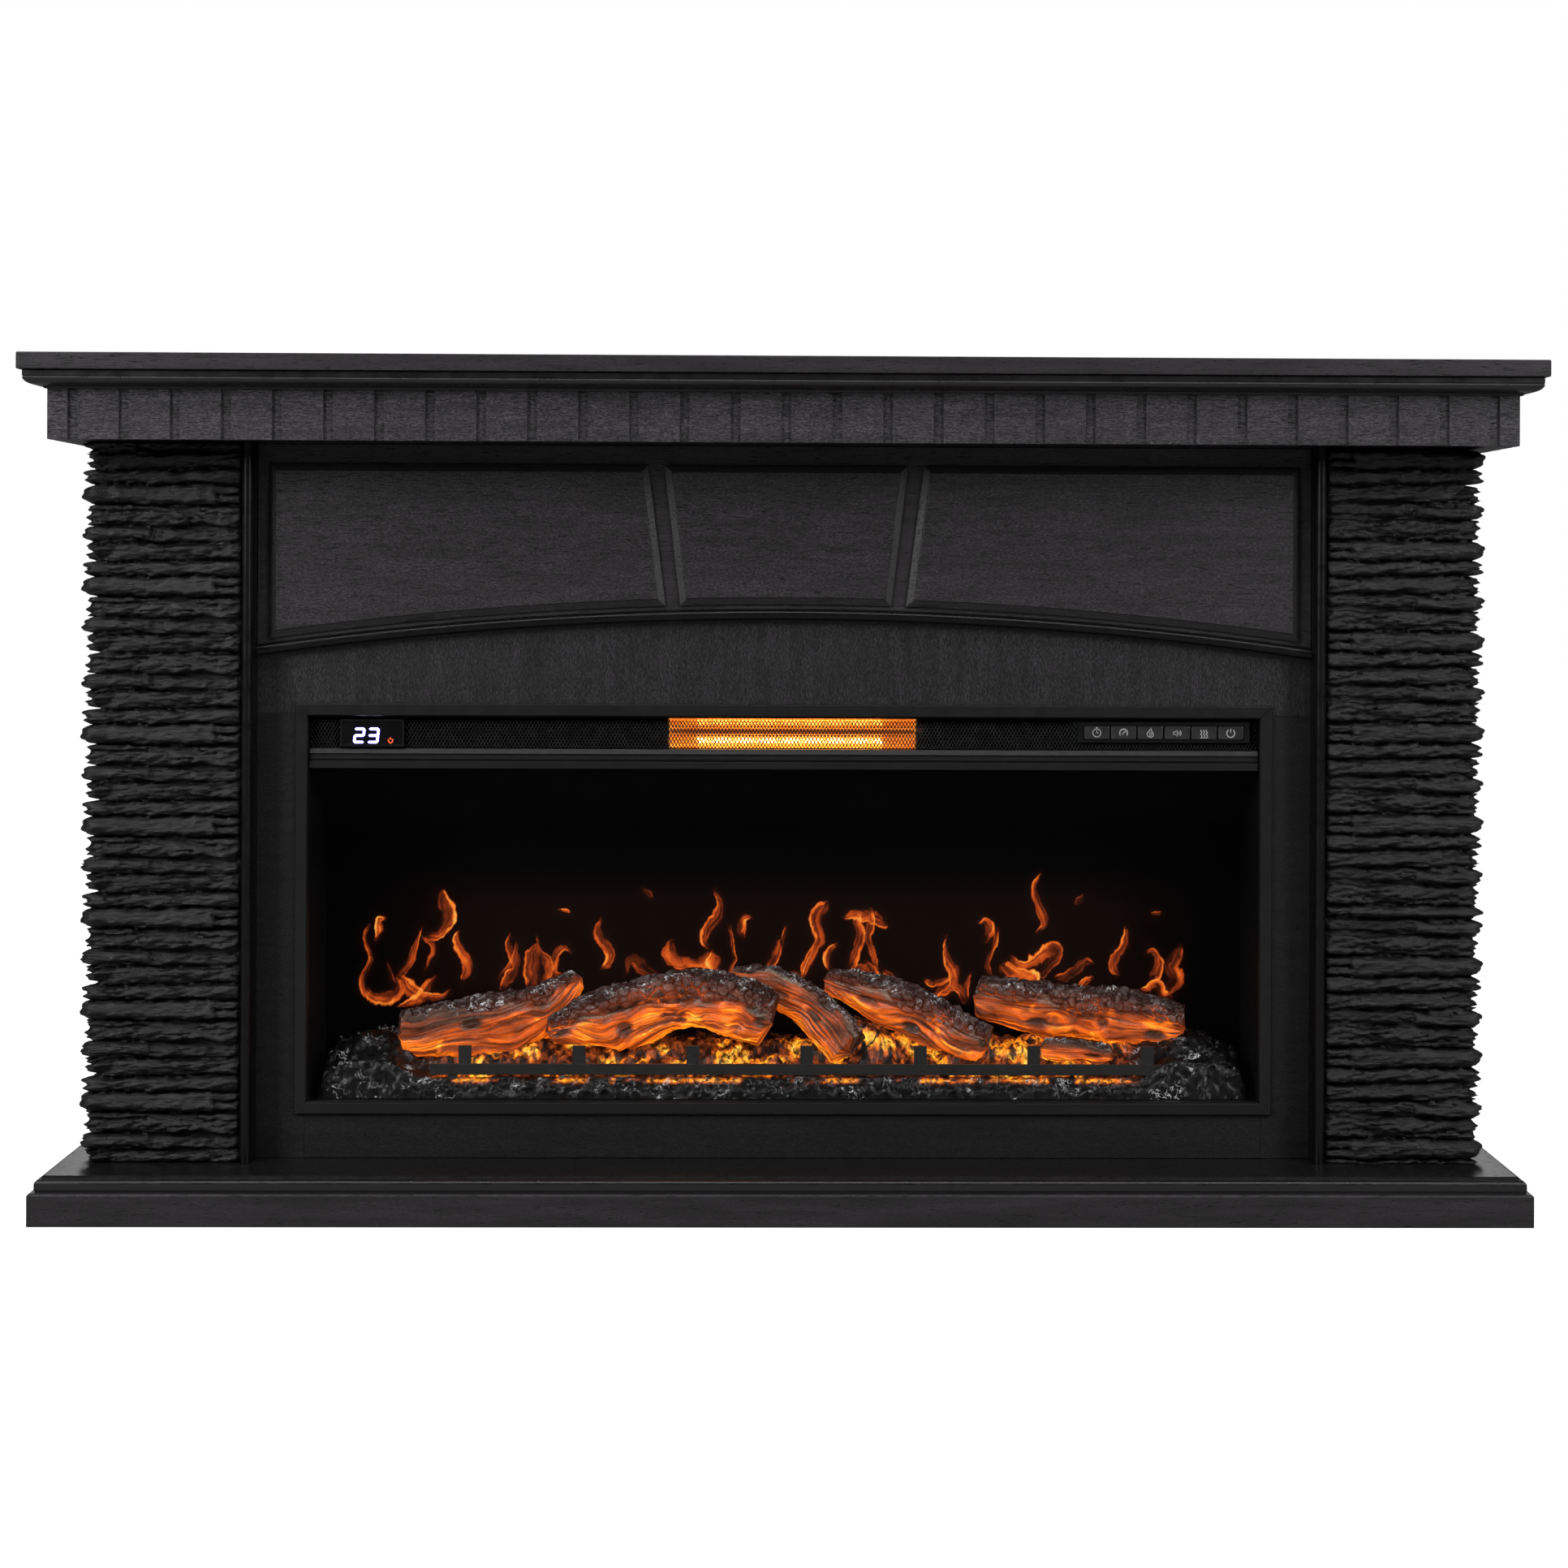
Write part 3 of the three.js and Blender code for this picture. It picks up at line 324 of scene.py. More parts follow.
CAD_LOOKS = {
    veneer_x: ("plinth_box", "arch_spandrel", "mantel_shelf"),
    veneer_frieze: ("frieze",),
    veneer_panel: ("raised_panel_left", "raised_panel_centre", "raised_panel_right"),
    veneer_painted_shade_bottom: ("fascia_stile_left", "fascia_stile_right", "fascia_bottom_rail"),
    veneer_z: ("fascia_top_board",),
    lacquer_painted_shade: ("mantel_soffit",),
    fibreboard.material: ("pillar_carcass_left", "pillar_carcass_right", "insert_shelf"),
    trim_enamel: ("trim_bottom", "trim_right", "trim_top", "trim_left", "divider_rail"),
    grate_enamel: ("log_grate",),
    case_coat: ("case_sleeve", "heater_deck", "blower_housing"),
    case_zinc: ("case_back",),
    plastic_black: ("cord_gland", "key_bezel", "blower_impeller", "spindle_bearing", "display_module"),
    motor_steel: ("blower_motor", "spindle_motor"),
    foil: ("flame_spindle",),
    circuit.material: ("control_board", "led_board"),
}
for finish, names in CAD_LOOKS.items():
    dress(finish, *names)

# Edges are eased where light catches them, by this many millimetres.
EASED = {
    0.8: ("plinth_box",),
    0.6: ("fascia_bottom_rail", "arch_spandrel", "mantel_shelf", *CAD_LOOKS[veneer_panel]),
    0.5: ("frieze", "log_grate"),
    0.4: ("fascia_top_board", "fascia_stile_left", "fascia_stile_right", "mantel_soffit"),
    0.35: CAD_LOOKS[trim_enamel],
    0.3: ("display_module", "key_bezel", "cord_gland"),
}
for width, names in EASED.items():
    for name in names:
        weld = nodes[name].modifiers.new("weld", "WELD")
        weld.merge_threshold = 1e-5
        bevel = nodes[name].modifiers.new("eased_edges", "BEVEL")
        bevel.width = width * MM
        bevel.segments = 2
        bevel.limit_method = "ANGLE"
        bevel.angle_limit = math.radians(25)
        bevel.harden_normals = True


# ---------------------------------------------------------------- mesh helpers


def piece(name, points, faces, material, slot, replaces=(), body=ROOT, sharp=30, attributes=None):
    """A closed mesh piece from points in millimetres, riding on a body."""
    mesh = bpy.data.meshes.new(name)
    mesh.from_pydata((np.asarray(points, float) * MM).tolist(), [], [list(f) for f in faces])
    work = bmesh.new()
    work.from_mesh(mesh)
    bmesh.ops.recalc_face_normals(work, faces=work.faces)
    work.to_mesh(mesh)
    work.free()
    mesh.shade_smooth()
    mesh.set_sharp_from_angle(angle=math.radians(sharp))
    for key, values in (attributes or {}).items():
        layer = mesh.color_attributes.new(key, "FLOAT_COLOR", "POINT")
        rgba = np.ones((len(mesh.vertices), 4), np.float32)
        rgba[:, :3] = values
        layer.data.foreach_set("color", rgba.ravel())
    mesh.materials.append(material)
    obj = bpy.data.objects.new(name, mesh)
    bpy.context.scene.collection.objects.link(obj)
    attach(obj, body)
    if replaces:
        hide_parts(*replaces)


def grid_faces(rows, cols, wrap=False):
    """Quads between the points of a grid; wrap joins each row's last point to its first."""
    r, c = np.meshgrid(np.arange(rows - 1), np.arange(cols if wrap else cols - 1), indexing="ij")
    a, b = r * cols + c, r * cols + (c + 1) % cols
    return np.stack([a, b, b + cols, a + cols], -1).reshape(-1, 4)


def loft(rings):
    """Points and faces of a closed skin through rings of the same number of points."""
    rings = np.asarray(rings, float)
    count, size = rings.shape[:2]
    faces = [*grid_faces(count, size, True), range(size), range((count - 1) * size, count * size)]
    return rings.reshape(-1, 3), faces


def merged(parts):
    """Several (points, faces) as one."""
    points, faces, start = [], [], 0
    for p, f in parts:
        points.append(np.asarray(p, float))
        faces += [[i + start for i in face] for face in f]
        start += len(p)
    return np.concatenate(points), faces


def extruded(outline, axis, low, high):
    """A closed prism: outline in the other two axes (in order X, Y, Z), from low to high along axis."""
    return loft([[[*p[:axis], level, *p[axis:]] for p in outline] for level in (low, high)])


def arc(centre, radius, start, end, steps=24):
    a = np.radians(np.linspace(start, end, steps + 1))
    return [(centre[0] + radius * math.cos(t), centre[1] + radius * math.sin(t)) for t in a]


def wrapped(profile, half_width, front, back):
    """A moulding round the left side, front and right side; profile is (reach, height)."""
    stations = [(-1, back, 0), (-1, front, -1), (1, front, -1), (1, back, 0)]
    return loft([[(s * (half_width + o), y + d * o, z) for o, z in profile] for s, y, d in stations])


# ---------------------------------------------------------------- mouldings of the surround

low, high = box_mm("hearth_board")
nose = arc((5, 43.5), 5, 180, 90, 10)
edge = [(1, 35.3), (1, 36.6), (0, 37.8), *nose, (6.6, 48.6), (6.9, 50.4), (9, 52)]  # inset and height
rings = [
    [(sx * (high[0] - inset), low[1] + inset if sy < 0 else high[1], z) for sx, sy in CORNERS] for inset, z in edge
]
piece("hearth_board_moulded", *loft(rings), lacquer_black, "lacquer_black", ["hearth_board"], sharp=35)

for side_name, side in (("left", -1), ("right", 1)):
    low, high = box_mm(f"pillar_bead_{side_name}")
    radius = (high[0] - low[0]) / 2 - 0.9
    middle = (high[0] + low[0]) / 2
    outline = [(low[0], high[1]), (low[0], low[1] + radius + 2), *arc((middle, low[1] + radius), radius, 180, 360, 20)]
    outline += [(high[0], low[1] + radius + 2), (high[0], high[1])]
    piece(
        f"pillar_bead_{side_name}_round", *extruded(outline, 2, low[2], high[2]), lacquer_painted_shade, "lacquer_black",
        [f"pillar_bead_{side_name}"], sharp=35,
    )

low, high = box_mm("arch_bead")
HALF_SPAN, BEAD, ARCH_STATIONS = high[0], 6.0, 81
crown_z, spring_z = high[2] - BEAD, low[2] + BEAD
ARCH_RADIUS = (HALF_SPAN**2 + (crown_z - spring_z) ** 2) / (2 * (crown_z - spring_z))
section = [(BEAD, high[1]), *arc((0, low[1] + BEAD), BEAD, 0, -180, 14), (-BEAD, high[1])]
rings = [
    [(x, y, crown_z - ARCH_RADIUS + math.sqrt((ARCH_RADIUS + rise) ** 2 - x * x)) for rise, y in section]
    for x in np.linspace(-HALF_SPAN, HALF_SPAN, ARCH_STATIONS)
]
piece("arch_bead_round", *loft(rings), lacquer_painted_shade, "lacquer_black", ["arch_bead"], sharp=35)

low, high = box_mm("crown_moulding")
FRIEZE_HALF = box_mm("frieze")[1][0]
REACH = high[0] - FRIEZE_HALF
band_foot = high[2] - 7.5
cove = [(5 + (REACH - 5) * math.cos(a), band_foot - 9 * math.sin(a)) for a in np.radians(np.linspace(0, 90, 15))]
band = [
    (0.3, high[2]), (REACH - 0.8, high[2]), (REACH, high[2] - 0.8), (REACH, band_foot + 1.2),
    (REACH - 0.7, band_foot + 0.6),
]
profile = [*band, *cove[1:], (3.4, band_foot - 9.4), (3.2, low[2]), (0.3, low[2])]
piece(
    "crown_moulding_smooth", *wrapped(profile, FRIEZE_HALF, box_mm("frieze")[0][1], high[1]), lacquer_black,
    "lacquer_black", ["crown_moulding"], sharp=35,
)

# ---------------------------------------------------------------- ledge stone

TILE = 99.5  # height of one cast tile
FRONT_COLUMNS, TURN_COLUMNS, FLANK_COLUMNS, STONE_ROWS = 84, 11, 66, 571  # points across and down a pillar's skin
TURN_WIDTH = 26  # of a tile's face, used by the turn round the corner

# Stones of a tile: from the outer corner (0) to the inner edge (142) along the front, down from the tile's top,
# and how far each stands off: (near, far, top, bottom, height).
TILE_STONES = [
    (-40, 46, 0, 15.5, 17.5), (38, 160, 2, 17, 9.5), (-28, 30, 15.2, 19.6, 11.5), (-22, 160, 18.5, 37.5, 12.5),
    (66, 160, 20, 28.5, 14.5), (-14, 74, 21, 29, 14.0), (-38, 160, 38.2, 54.2, 16.5), (-42, 118, 54.4, 77, 19.0),
    (106, 160, 55.5, 65, 13.5), (108, 160, 65.5, 75.5, 12.0), (-24, 160, 77.3, 99.7, 12.0), (30, 86, 83, 92.5, 15.5),
    (98, 160, 78.5, 86.5, 14.5), (-26, 26, 85.5, 95, 14.0), (62, 132, 91.5, 98.5, 14.0), (-22, 50, 78, 84, 13.5),
]


def side_stones(seed):
    """Stones of the tile where it runs on round the corner: the same courses, broken at random lengths."""
    rng = np.random.default_rng(seed)
    made = []
    for top, bottom, height in [
        (0, 15.5, 15), (15.2, 19.6, 11), (18.5, 29, 13), (28, 37.5, 11), (38.2, 54.2, 15), (54.4, 65, 16),
        (64, 77, 14.5), (77.3, 86, 12), (85, 95, 13.5), (94, 99.7, 11),
    ]:
        near = -30.0 - rng.uniform(0, 14)
        while near > -330:
            length = rng.uniform(45, 120)
            lift = rng.uniform(-2.5, 2.5)
            shift = rng.uniform(-0.8, 0.8)
            made.append((near - length, near + 2, top + shift, bottom + shift, height + lift))
            near -= length
    return made


def relief(u, t):
    """How far the stone stands off, u along the wall from the outer corner and t down from the tile's top."""
    drift_u = u + 3.5 * noise(t / 7.0, u * 0, 11)
    drift_t = t + 3.2 * fbm(u / 26.0, t / 14.0, 21, 4) + 0.5 * noise(u / 6.0, t / 5.0, 27)
    height = np.full(u.shape, 4.5) + 1.6 * fbm(u / 18.0, t / 4.0, 31, 3)
    for k, (near, far, top, bottom, stand) in enumerate(TILE_STONES + side_stones(5)):
        half, middle = (bottom - top) / 2, (bottom + top) / 2
        across = np.clip(1 - np.abs((drift_t - middle) / (half + 0.4)) ** 2.6, 0, 1)
        along = smooth(0, 4.5, drift_u - near) * smooth(0, 4.5, far - drift_u)
        lean = 0.09 * (drift_t - middle) * (1 if k % 3 else -1)
        sway = 1.6 * noise(u / 26.0 + k * 3.7, t * 0 + k, 41)
        height = np.maximum(height, (stand + sway + lean) * across**0.42 * along**0.5)
    strata = ridged(u / 26.0 + t / 34.0, t / 4.9 + 0.6 * noise(u / 17.0, t / 20.0, 61), 51, 3)
    chips = fbm(u / 11.0 + t / 15.0, t / 5.2 - u / 40.0, 71, 4)
    plain = smooth(54, 57, t) * smooth(77.5, 74.5, t) * smooth(-50, -40, u) * smooth(122, 112, u)
    rough = 1 - 0.4 * plain
    body = smooth(4.0, 9.0, height)
    height = height + body * rough * (3.6 * (strata - 0.45) + 3.0 * chips)
    facets = noise(u / 13.0 + 0.25 * t, t / 9.0, 81)
    height = height + body * (1.5 * facets + 0.35 * noise(u / 2.4, t / 1.5, 91))
    return height * (1 + 0.24 * smooth(2, -14, u))


def stone_cladding(side_name, side, bands, turned):
    """bands are (top, bottom, top of the first tile); a turned tile hangs upside down."""
    low, high = box_mm(f"stone_cladding_{side_name}")
    carcass = box_mm(f"pillar_carcass_{side_name}")
    inner = min(abs(low[0]), abs(high[0]))
    flank = max(abs(carcass[0][0]), abs(carcass[1][0])) + 0.3
    back_y, wall_y = carcass[0][1] - 0.3, high[1]
    front = np.linspace(flank - inner, 0, FRONT_COLUMNS)
    turn = np.linspace(0, 90, TURN_COLUMNS + 2)[1:-1]
    gap = 2.4
    beside = np.concatenate([[0], gap + (wall_y - back_y - gap) * np.linspace(0, 1, FLANK_COLUMNS) ** 1.08])
    u = np.concatenate([front, -turn / 90 * TURN_WIDTH, -TURN_WIDTH - beside])
    z = np.linspace(high[2], low[2], STONE_ROWS)
    t = np.zeros(z.shape)
    seam = np.full(z.shape, TILE)
    for top, bottom, first in bands:
        inside = (z <= top + 0.01) & (z >= bottom - 0.01)
        t[inside] = (first - z[inside]) % TILE
        seam[inside] = np.minimum(np.abs(z[inside] - top), np.abs(z[inside] - bottom))
    if turned:
        t = TILE - t
    uu, tt = np.meshgrid(u, t)
    zz = np.broadcast_to(z[:, None], uu.shape)
    height = relief(uu, tt) + 0.8 * fbm(uu / 60.0 + 9, zz / 90.0, 101, 3)
    height *= smooth(-1.5, 3.0, seam)[:, None] * 0.35 + 0.65
    height = height * (0.72 + 0.28 * smooth(0, 5, flank - inner - uu))
    beside_height = height * (1 + smooth(34, -TURN_WIDTH, uu) * 0.28) + 2.5
    turned_by = np.radians(np.concatenate([0 * front, turn, 0 * beside + 90]))
    share = turned_by / (math.pi / 2)
    square = (np.abs(np.cos(turned_by)) ** 3 + np.abs(np.sin(turned_by)) ** 3) ** (-1 / 3)
    reach = (height * (1 - share) + beside_height * share) * square
    x = np.concatenate([flank - front, 0 * turn + flank, 0 * beside + flank]) + reach * np.sin(turned_by)
    y = np.concatenate([0 * front + back_y, 0 * turn + back_y, back_y + beside]) - reach * np.cos(turned_by)
    x[:, 0] = inner
    hidden = np.array([(flank, wall_y), (flank, back_y), (inner, back_y)])
    x, y = (np.hstack([a, np.tile(hidden[:, k], (STONE_ROWS, 1))]) for k, a in enumerate((x, y)))
    rings = np.stack([side * x, y, np.broadcast_to(z[:, None], x.shape)], -1)
    depth = np.hstack([height, np.zeros((STONE_ROWS, len(hidden)))]).reshape(-1, 1)
    piece(
        f"ledge_stone_{side_name}", *loft(rings), stone_paint.material, "ledge_stone",
        [f"stone_cladding_{side_name}"], sharp=80,
        attributes={"relief": np.repeat(np.clip((depth - 4) / 13, 0, 1), 3, 1)},
    )


stone_paint = Finish("stone_satin_black", (0.0085, 0.0085, 0.009), 0.45, Specular_IOR_Level=0.38)
# Painted shade and highlight: the base colour darkens with depth into the crevices between the stones and lightens on
# the standing crests.
painted_shade_and_crest_highlight = stone_paint.ramp(
    stone_paint.attribute("relief"), [(0.0, 0.0004), (0.42, (0.0022, 0.0021, 0.0023)), (1.0, (0.0098, 0.0091, 0.0101))]
)
layers = stone_paint.noise((45, 45, 330), 4, 0.6, 0.4)
layer_shade = stone_paint.ramp(layers, [(0.36, 0.25), (0.5, 1.0), (0.7, 1.5)])
stone_paint.feed(stone_paint.times(painted_shade_and_crest_highlight, layer_shade), "Base Color")
stone_paint.bump(layers, 0.003, 0.85)
stone_paint.gloss(stone_paint.noise((45, 45, 90), 4), 0.32, 0.55)
stone_paint.bump(stone_paint.noise((190, 190, 560), 5, 0.65), 0.0016, 0.7)
stone_paint.bump(stone_paint.noise((900, 900, 1400), 3, 0.6), 0.0003, 0.5)

stone_cladding("left", -1, [(832, 603.5, 741.2), (603.5, 52, 581)], False)
stone_cladding("right", 1, [(832, 321.6, 754.3 + TILE), (321.6, 52, 400.5)], True)

# ---------------------------------------------------------------- grille, display and keys

low, high = box_mm("heater_grille")
CELL_X, CELL_Z = 3.75, 6.7  # width and height of a diamond
STRAND, SHEET = 0.5, 0.5  # half width of a strand and half thickness of the mesh
GRILLE_FRAME = 1.4
display_low, display_high = box_mm("display_module")
bezel_low, bezel_high = box_mm("key_bezel")
middle_y = (low[1] + high[1]) / 2


def strand_gaps(x, z):
    """True where the mesh is cut away for the display and the keys."""
    in_display = display_low[0] - 0.5 < x < display_high[0] + 0.5 and z > display_low[2] - 0.5
    in_keys = bezel_low[0] + 3 < x < bezel_high[0] - 3 and bezel_low[2] + 2.5 < z < bezel_high[2] - 3
    return in_display or in_keys


BAR_FACES = [(0, 1, 2, 3), (7, 6, 5, 4), (0, 4, 5, 1), (1, 5, 6, 2), (2, 6, 7, 3), (3, 7, 4, 0)]


def diamond_mesh():
    """Expanded mesh: short flat bars from node to node of a diamond lattice, and a frame round it."""
    parts = []
    columns = int((high[0] - low[0]) / CELL_X * 2)
    rows = int((high[2] - low[2] - 2) / CELL_Z * 2)
    reach = math.hypot(CELL_X, CELL_Z) / 2
    across = np.array([CELL_Z, -CELL_X]) / (2 * reach) * STRAND
    for i in range(columns):
        for j in range(rows):
            x, z = low[0] + 1 + i * CELL_X / 2, low[2] + 1.2 + j * CELL_Z / 2
            rising = (i + j) % 2 == 0
            a = (x, z if rising else z + CELL_Z / 2)
            b = (x + CELL_X / 2, z + CELL_Z / 2 if rising else z)
            if strand_gaps((a[0] + b[0]) / 2, z + CELL_Z / 4) or b[0] > high[0] - 1:
                continue
            side = across * (1, -1) if rising else across * (1, 1)
            tilt = 0.28 if rising else -0.28
            corners = []
            for y in (middle_y - SHEET, middle_y + SHEET):
                corners += [
                    (a[0] - side[0], y + tilt, a[1] + side[1]), (b[0] - side[0], y + tilt, b[1] + side[1]),
                    (b[0] + side[0], y - tilt, b[1] - side[1]), (a[0] + side[0], y - tilt, a[1] - side[1]),
                ]
            parts.append((corners, BAR_FACES))
    (x0, _, z0), (x1, _, z1) = low, high
    for x0, x1, z0, z1 in (
        (x0, x1, z0, z0 + GRILLE_FRAME), (x0, x1, z1 - GRILLE_FRAME, z1),
        (x0, x0 + GRILLE_FRAME, z0, z1), (x1 - GRILLE_FRAME, x1, z0, z1),
    ):
        parts.append(extruded([(x0, z0), (x1, z0), (x1, z1), (x0, z1)], 1, low[1], high[1]))
    return merged(parts)


piece("grille_diamond_mesh", *diamond_mesh(), grille_enamel, "grille_enamel", ["heater_grille"], sharp=20)

# A pleated dust filter closes the air intake at the back of the case, behind the grille.
low, high = box_mm("case_back")
deck_top = box_mm("heater_deck")[1][2]
FILTER_HALF, PLEAT_POINTS = 500, 251
pleats = np.linspace(-FILTER_HALF, FILTER_HALF, PLEAT_POINTS)
outline = [(x, low[1] - (3.4 if k % 2 else 1.2)) for k, x in enumerate(pleats)]
outline += [(FILTER_HALF, low[1] - 0.4), (-FILTER_HALF, low[1] - 0.4)]
filter_felt = speckled("filter_felt", (0.004, 0.004, 0.004), 0.95, 700, 0.6, 1.4, 3, Specular_IOR_Level=0.1)
filter_felt.bump(filter_felt.noise(1200, 3), 0.0003, 0.6)
filter_block = extruded(outline, 2, deck_top + 1, high[2] - 3)
piece("intake_dust_filter", *filter_block, filter_felt.material, "plastic_black")

icon_white = speckled("icon_print", (0.34, 0.34, 0.35), 0.5, 700, 0.85, 1.1)
led_white = speckled("led_digit", (0.5, 0.5, 0.6), 0.4, 900, 0.9, 1.1, **emission(5.5, (0.62, 0.6, 1.0)))
led_halo = speckled("led_halo", (0.01, 0.01, 0.03), 0.3, 500, 0.8, 1.2, **emission(0.8, (0.1, 0.06, 0.9)))
led_red = speckled("led_red", (0.5, 0.05, 0.02), 0.4, 900, 0.9, 1.1, **emission(1.6, (1.0, 0.09, 0.02)))
smoked = Finish("display_smoked", (0.001, 0.001, 0.0015), 0.12, Specular_IOR_Level=0.1)
smoked.gloss(smoked.noise(40, 2), 0.1, 0.16)


def plate(outline, y0, y1):
    return extruded(outline, 1, y0, y1)


def stroke(path, width, y0, y1, closed=False):
    """A flat line of constant width along a path in the XZ plane."""
    path = np.asarray(path, float)
    ahead = np.roll(path, -1, 0) if closed else np.vstack([path[1:], 2 * path[-1] - path[-2]])
    behind = np.roll(path, 1, 0) if closed else np.vstack([2 * path[0] - path[1], path[:-1]])
    forward = ahead - behind
    forward /= np.linalg.norm(forward, axis=1)[:, None]
    across = np.stack([-forward[:, 1], forward[:, 0]], 1) * width / 2
    points, faces, n = [], [], len(path)
    for y in (y0, y1):
        for edge in (path + across, path - across):
            points += [(x, y, z) for x, z in edge]
    for i in range(n if closed else n - 1):
        k = (i + 1) % n
        faces += [
            (i, k, n + k, n + i), (2 * n + i, 3 * n + i, 3 * n + k, 2 * n + k),
            (i, 2 * n + i, 2 * n + k, k), (n + i, n + k, 3 * n + k, 3 * n + i),
        ]
    if not closed:
        faces += [(0, n, 3 * n, 2 * n), (n - 1, 3 * n - 1, 4 * n - 1, 2 * n - 1)]
    return points, faces


lens_y = display_low[1] + 0.8
lens_x, lens_z = ((display_low[k] + 3.3, display_high[k] - 3.3) for k in (0, 2))
lens = [(lens_x[sx > 0], lens_z[sz > 0]) for sx, sz in CORNERS]
piece("display_window", *plate(lens, lens_y - 0.6, lens_y + 0.1), smoked.material, "display_lens", sharp=40)

# Seven-segment digits: the segments lit for 2 and 3, on a cell 11 wide and 16 high.
SEGMENTS = {
    "top": ((1, 15.2), (9.4, 15.2)), "upper_right": ((10, 14.4), (10, 8.6)), "middle": ((1, 8), (9.4, 8)),
    "lower_left": ((0.4, 7.4), (0.4, 1.6)), "lower_right": ((10, 7.4), (10, 1.6)), "bottom": ((1, 0.8), (9.4, 0.8)),
}
DIGITS = (
    (-472, ("top", "upper_right", "middle", "lower_left", "bottom")),
    (-456.5, ("top", "upper_right", "middle", "lower_right", "bottom")),
)
DIGIT_FOOT, LEAN = 505.5, 0.1


def digit_strokes(width, y0, y1):
    parts = []
    for x, lit in DIGITS:
        for name in lit:
            a, b = (np.array([x + dx + LEAN * dz, DIGIT_FOOT + dz]) for dx, dz in SEGMENTS[name])
            along = (b - a) / math.hypot(*(b - a))
            tip, across = along * width / 2, np.array([-along[1], along[0]]) * width / 2
            parts.append(plate([a - tip, a + across, b + across, b + tip, b - across, a - across], y0, y1))
    return merged(parts)


digit_y = lens_y - 0.62
piece("display_digits", *digit_strokes(2.5, digit_y - 0.16, digit_y), led_white.material, "display_lens", sharp=40)
halo = digit_strokes(3.9, digit_y - 0.06, digit_y + 0.01)
piece("display_glow", *halo, led_halo.material, "display_lens", sharp=40)
bowl = [(-434.6, 509.2), (-433.6, 506.4), (-431.6, 505.2), (-429.9, 506.6), (-429.4, 509.6)]
mark = stroke(bowl, 1.1, digit_y - 0.1, digit_y)
dot = plate(arc((-432, 510.2), 1.1, 0, 330, 11), digit_y - 0.1, digit_y)
piece("display_mode_mark", *merged([mark, dot]), led_red.material, "display_lens", sharp=40)


def icon(name, x, z):
    """The lines of a key's icon round its centre: (path, width, closed)."""
    here = lambda points: [(x + a, z + b) for a, b in points]
    if name == "timer":
        hands, top = here([(0, 2.7), (0, 0), (2.1, -0.1)]), here([(-1.2, 5.8), (1.2, 5.8)])
        return [(arc((x, z), 4.4, 0, 345), 0.7, True), (hands, 0.7, False), (top, 0.7, False)]
    if name == "brightness":
        ticks = [
            (here([(r * math.cos(a), r * math.sin(a)) for r in (2.9, 3.9)]), 0.5, False)
            for a in np.radians([0, 45, 90, 135, 180])
        ]
        needle = here([(-1.6, -2.2), (0, 0), (1.9, 2.2)])
        return [(arc((x, z), 4.4, -40, 220), 0.7, False), (needle, 0.7, False), *ticks]
    if name == "flame":
        outer = [
            (0.4, -4.6), (-2.6, -3.6), (-3.8, -0.8), (-2.7, 1.7), (-1.6, 0.4), (-0.9, 3.2), (0.8, 5.2), (1.2, 2.4),
            (2.5, 0.6), (3.4, -1.4), (2.8, -3.6),
        ]
        inner = [(0.1, -3.1), (-1.0, -2.2), (-0.7, -0.8), (0.3, 0.9), (1.0, -0.7), (1.1, -2.2)]
        return [(here(outer), 0.75, True), (here(inner), 0.5, True)]
    if name == "sound":
        body = [(-4, -1.4), (-2.2, -1.4), (0, -3.7), (0, 3.7), (-2.2, 1.4), (-4, 1.4)]
        return [(here(body), 0.7, True), *[(arc((x, z), r, -42, 42, 10), 0.7, False) for r in (2.3, 4.2)]]
    if name == "heat":
        waves = [[(k + 0.9 * math.sin(t * 1.7), t - 0.2) for t in np.linspace(-3.6, 3.8, 12)] for k in (-3, 0, 3)]
        return [(here(line), 0.7, False) for line in (*waves, [(-4.4, -5), (4.4, -5)])]
    return [(arc((x, z), 4.4, -235, 55), 0.8, False), (here([(0, 5), (0, 0.6)]), 0.8, False)]


KEY_RADIUS = 1.6
for name in ("timer", "brightness", "flame", "sound", "heat", "power"):
    low, high = box_mm(f"key_{name}")
    face = low[1]
    x0, z0, x1, z1 = low[0] + KEY_RADIUS, low[2] + KEY_RADIUS, high[0] - KEY_RADIUS, high[2] - KEY_RADIUS
    corners = [((x0, z0), 180), ((x1, z0), 270), ((x1, z1), 0), ((x0, z1), 90)]
    levels = [(0, high[1] - 2), (0, face + 0.7), (0.25, face + 0.2), (0.8, face), (1.5, face + 0.16)]
    rings = [
        [(x, y, z) for at, a in corners for x, z in arc(at, KEY_RADIUS - inset, a, a + 90, 5)] for inset, y in levels
    ]
    piece(f"key_cap_{name}", *loft(rings), key_satin, "key_plastic", [f"key_{name}"], f"{name}_key")
    lines = icon(name, (low[0] + high[0]) / 2, (low[2] + high[2]) / 2 - 0.2)
    strokes = [stroke(path, width * 1.15, face + 0.02, face + 0.2, closed) for path, width, closed in lines]
    piece(f"key_icon_{name}", *merged(strokes), icon_white.material, "key_plastic", body=f"{name}_key", sharp=40)

# ---------------------------------------------------------------- infrared heater

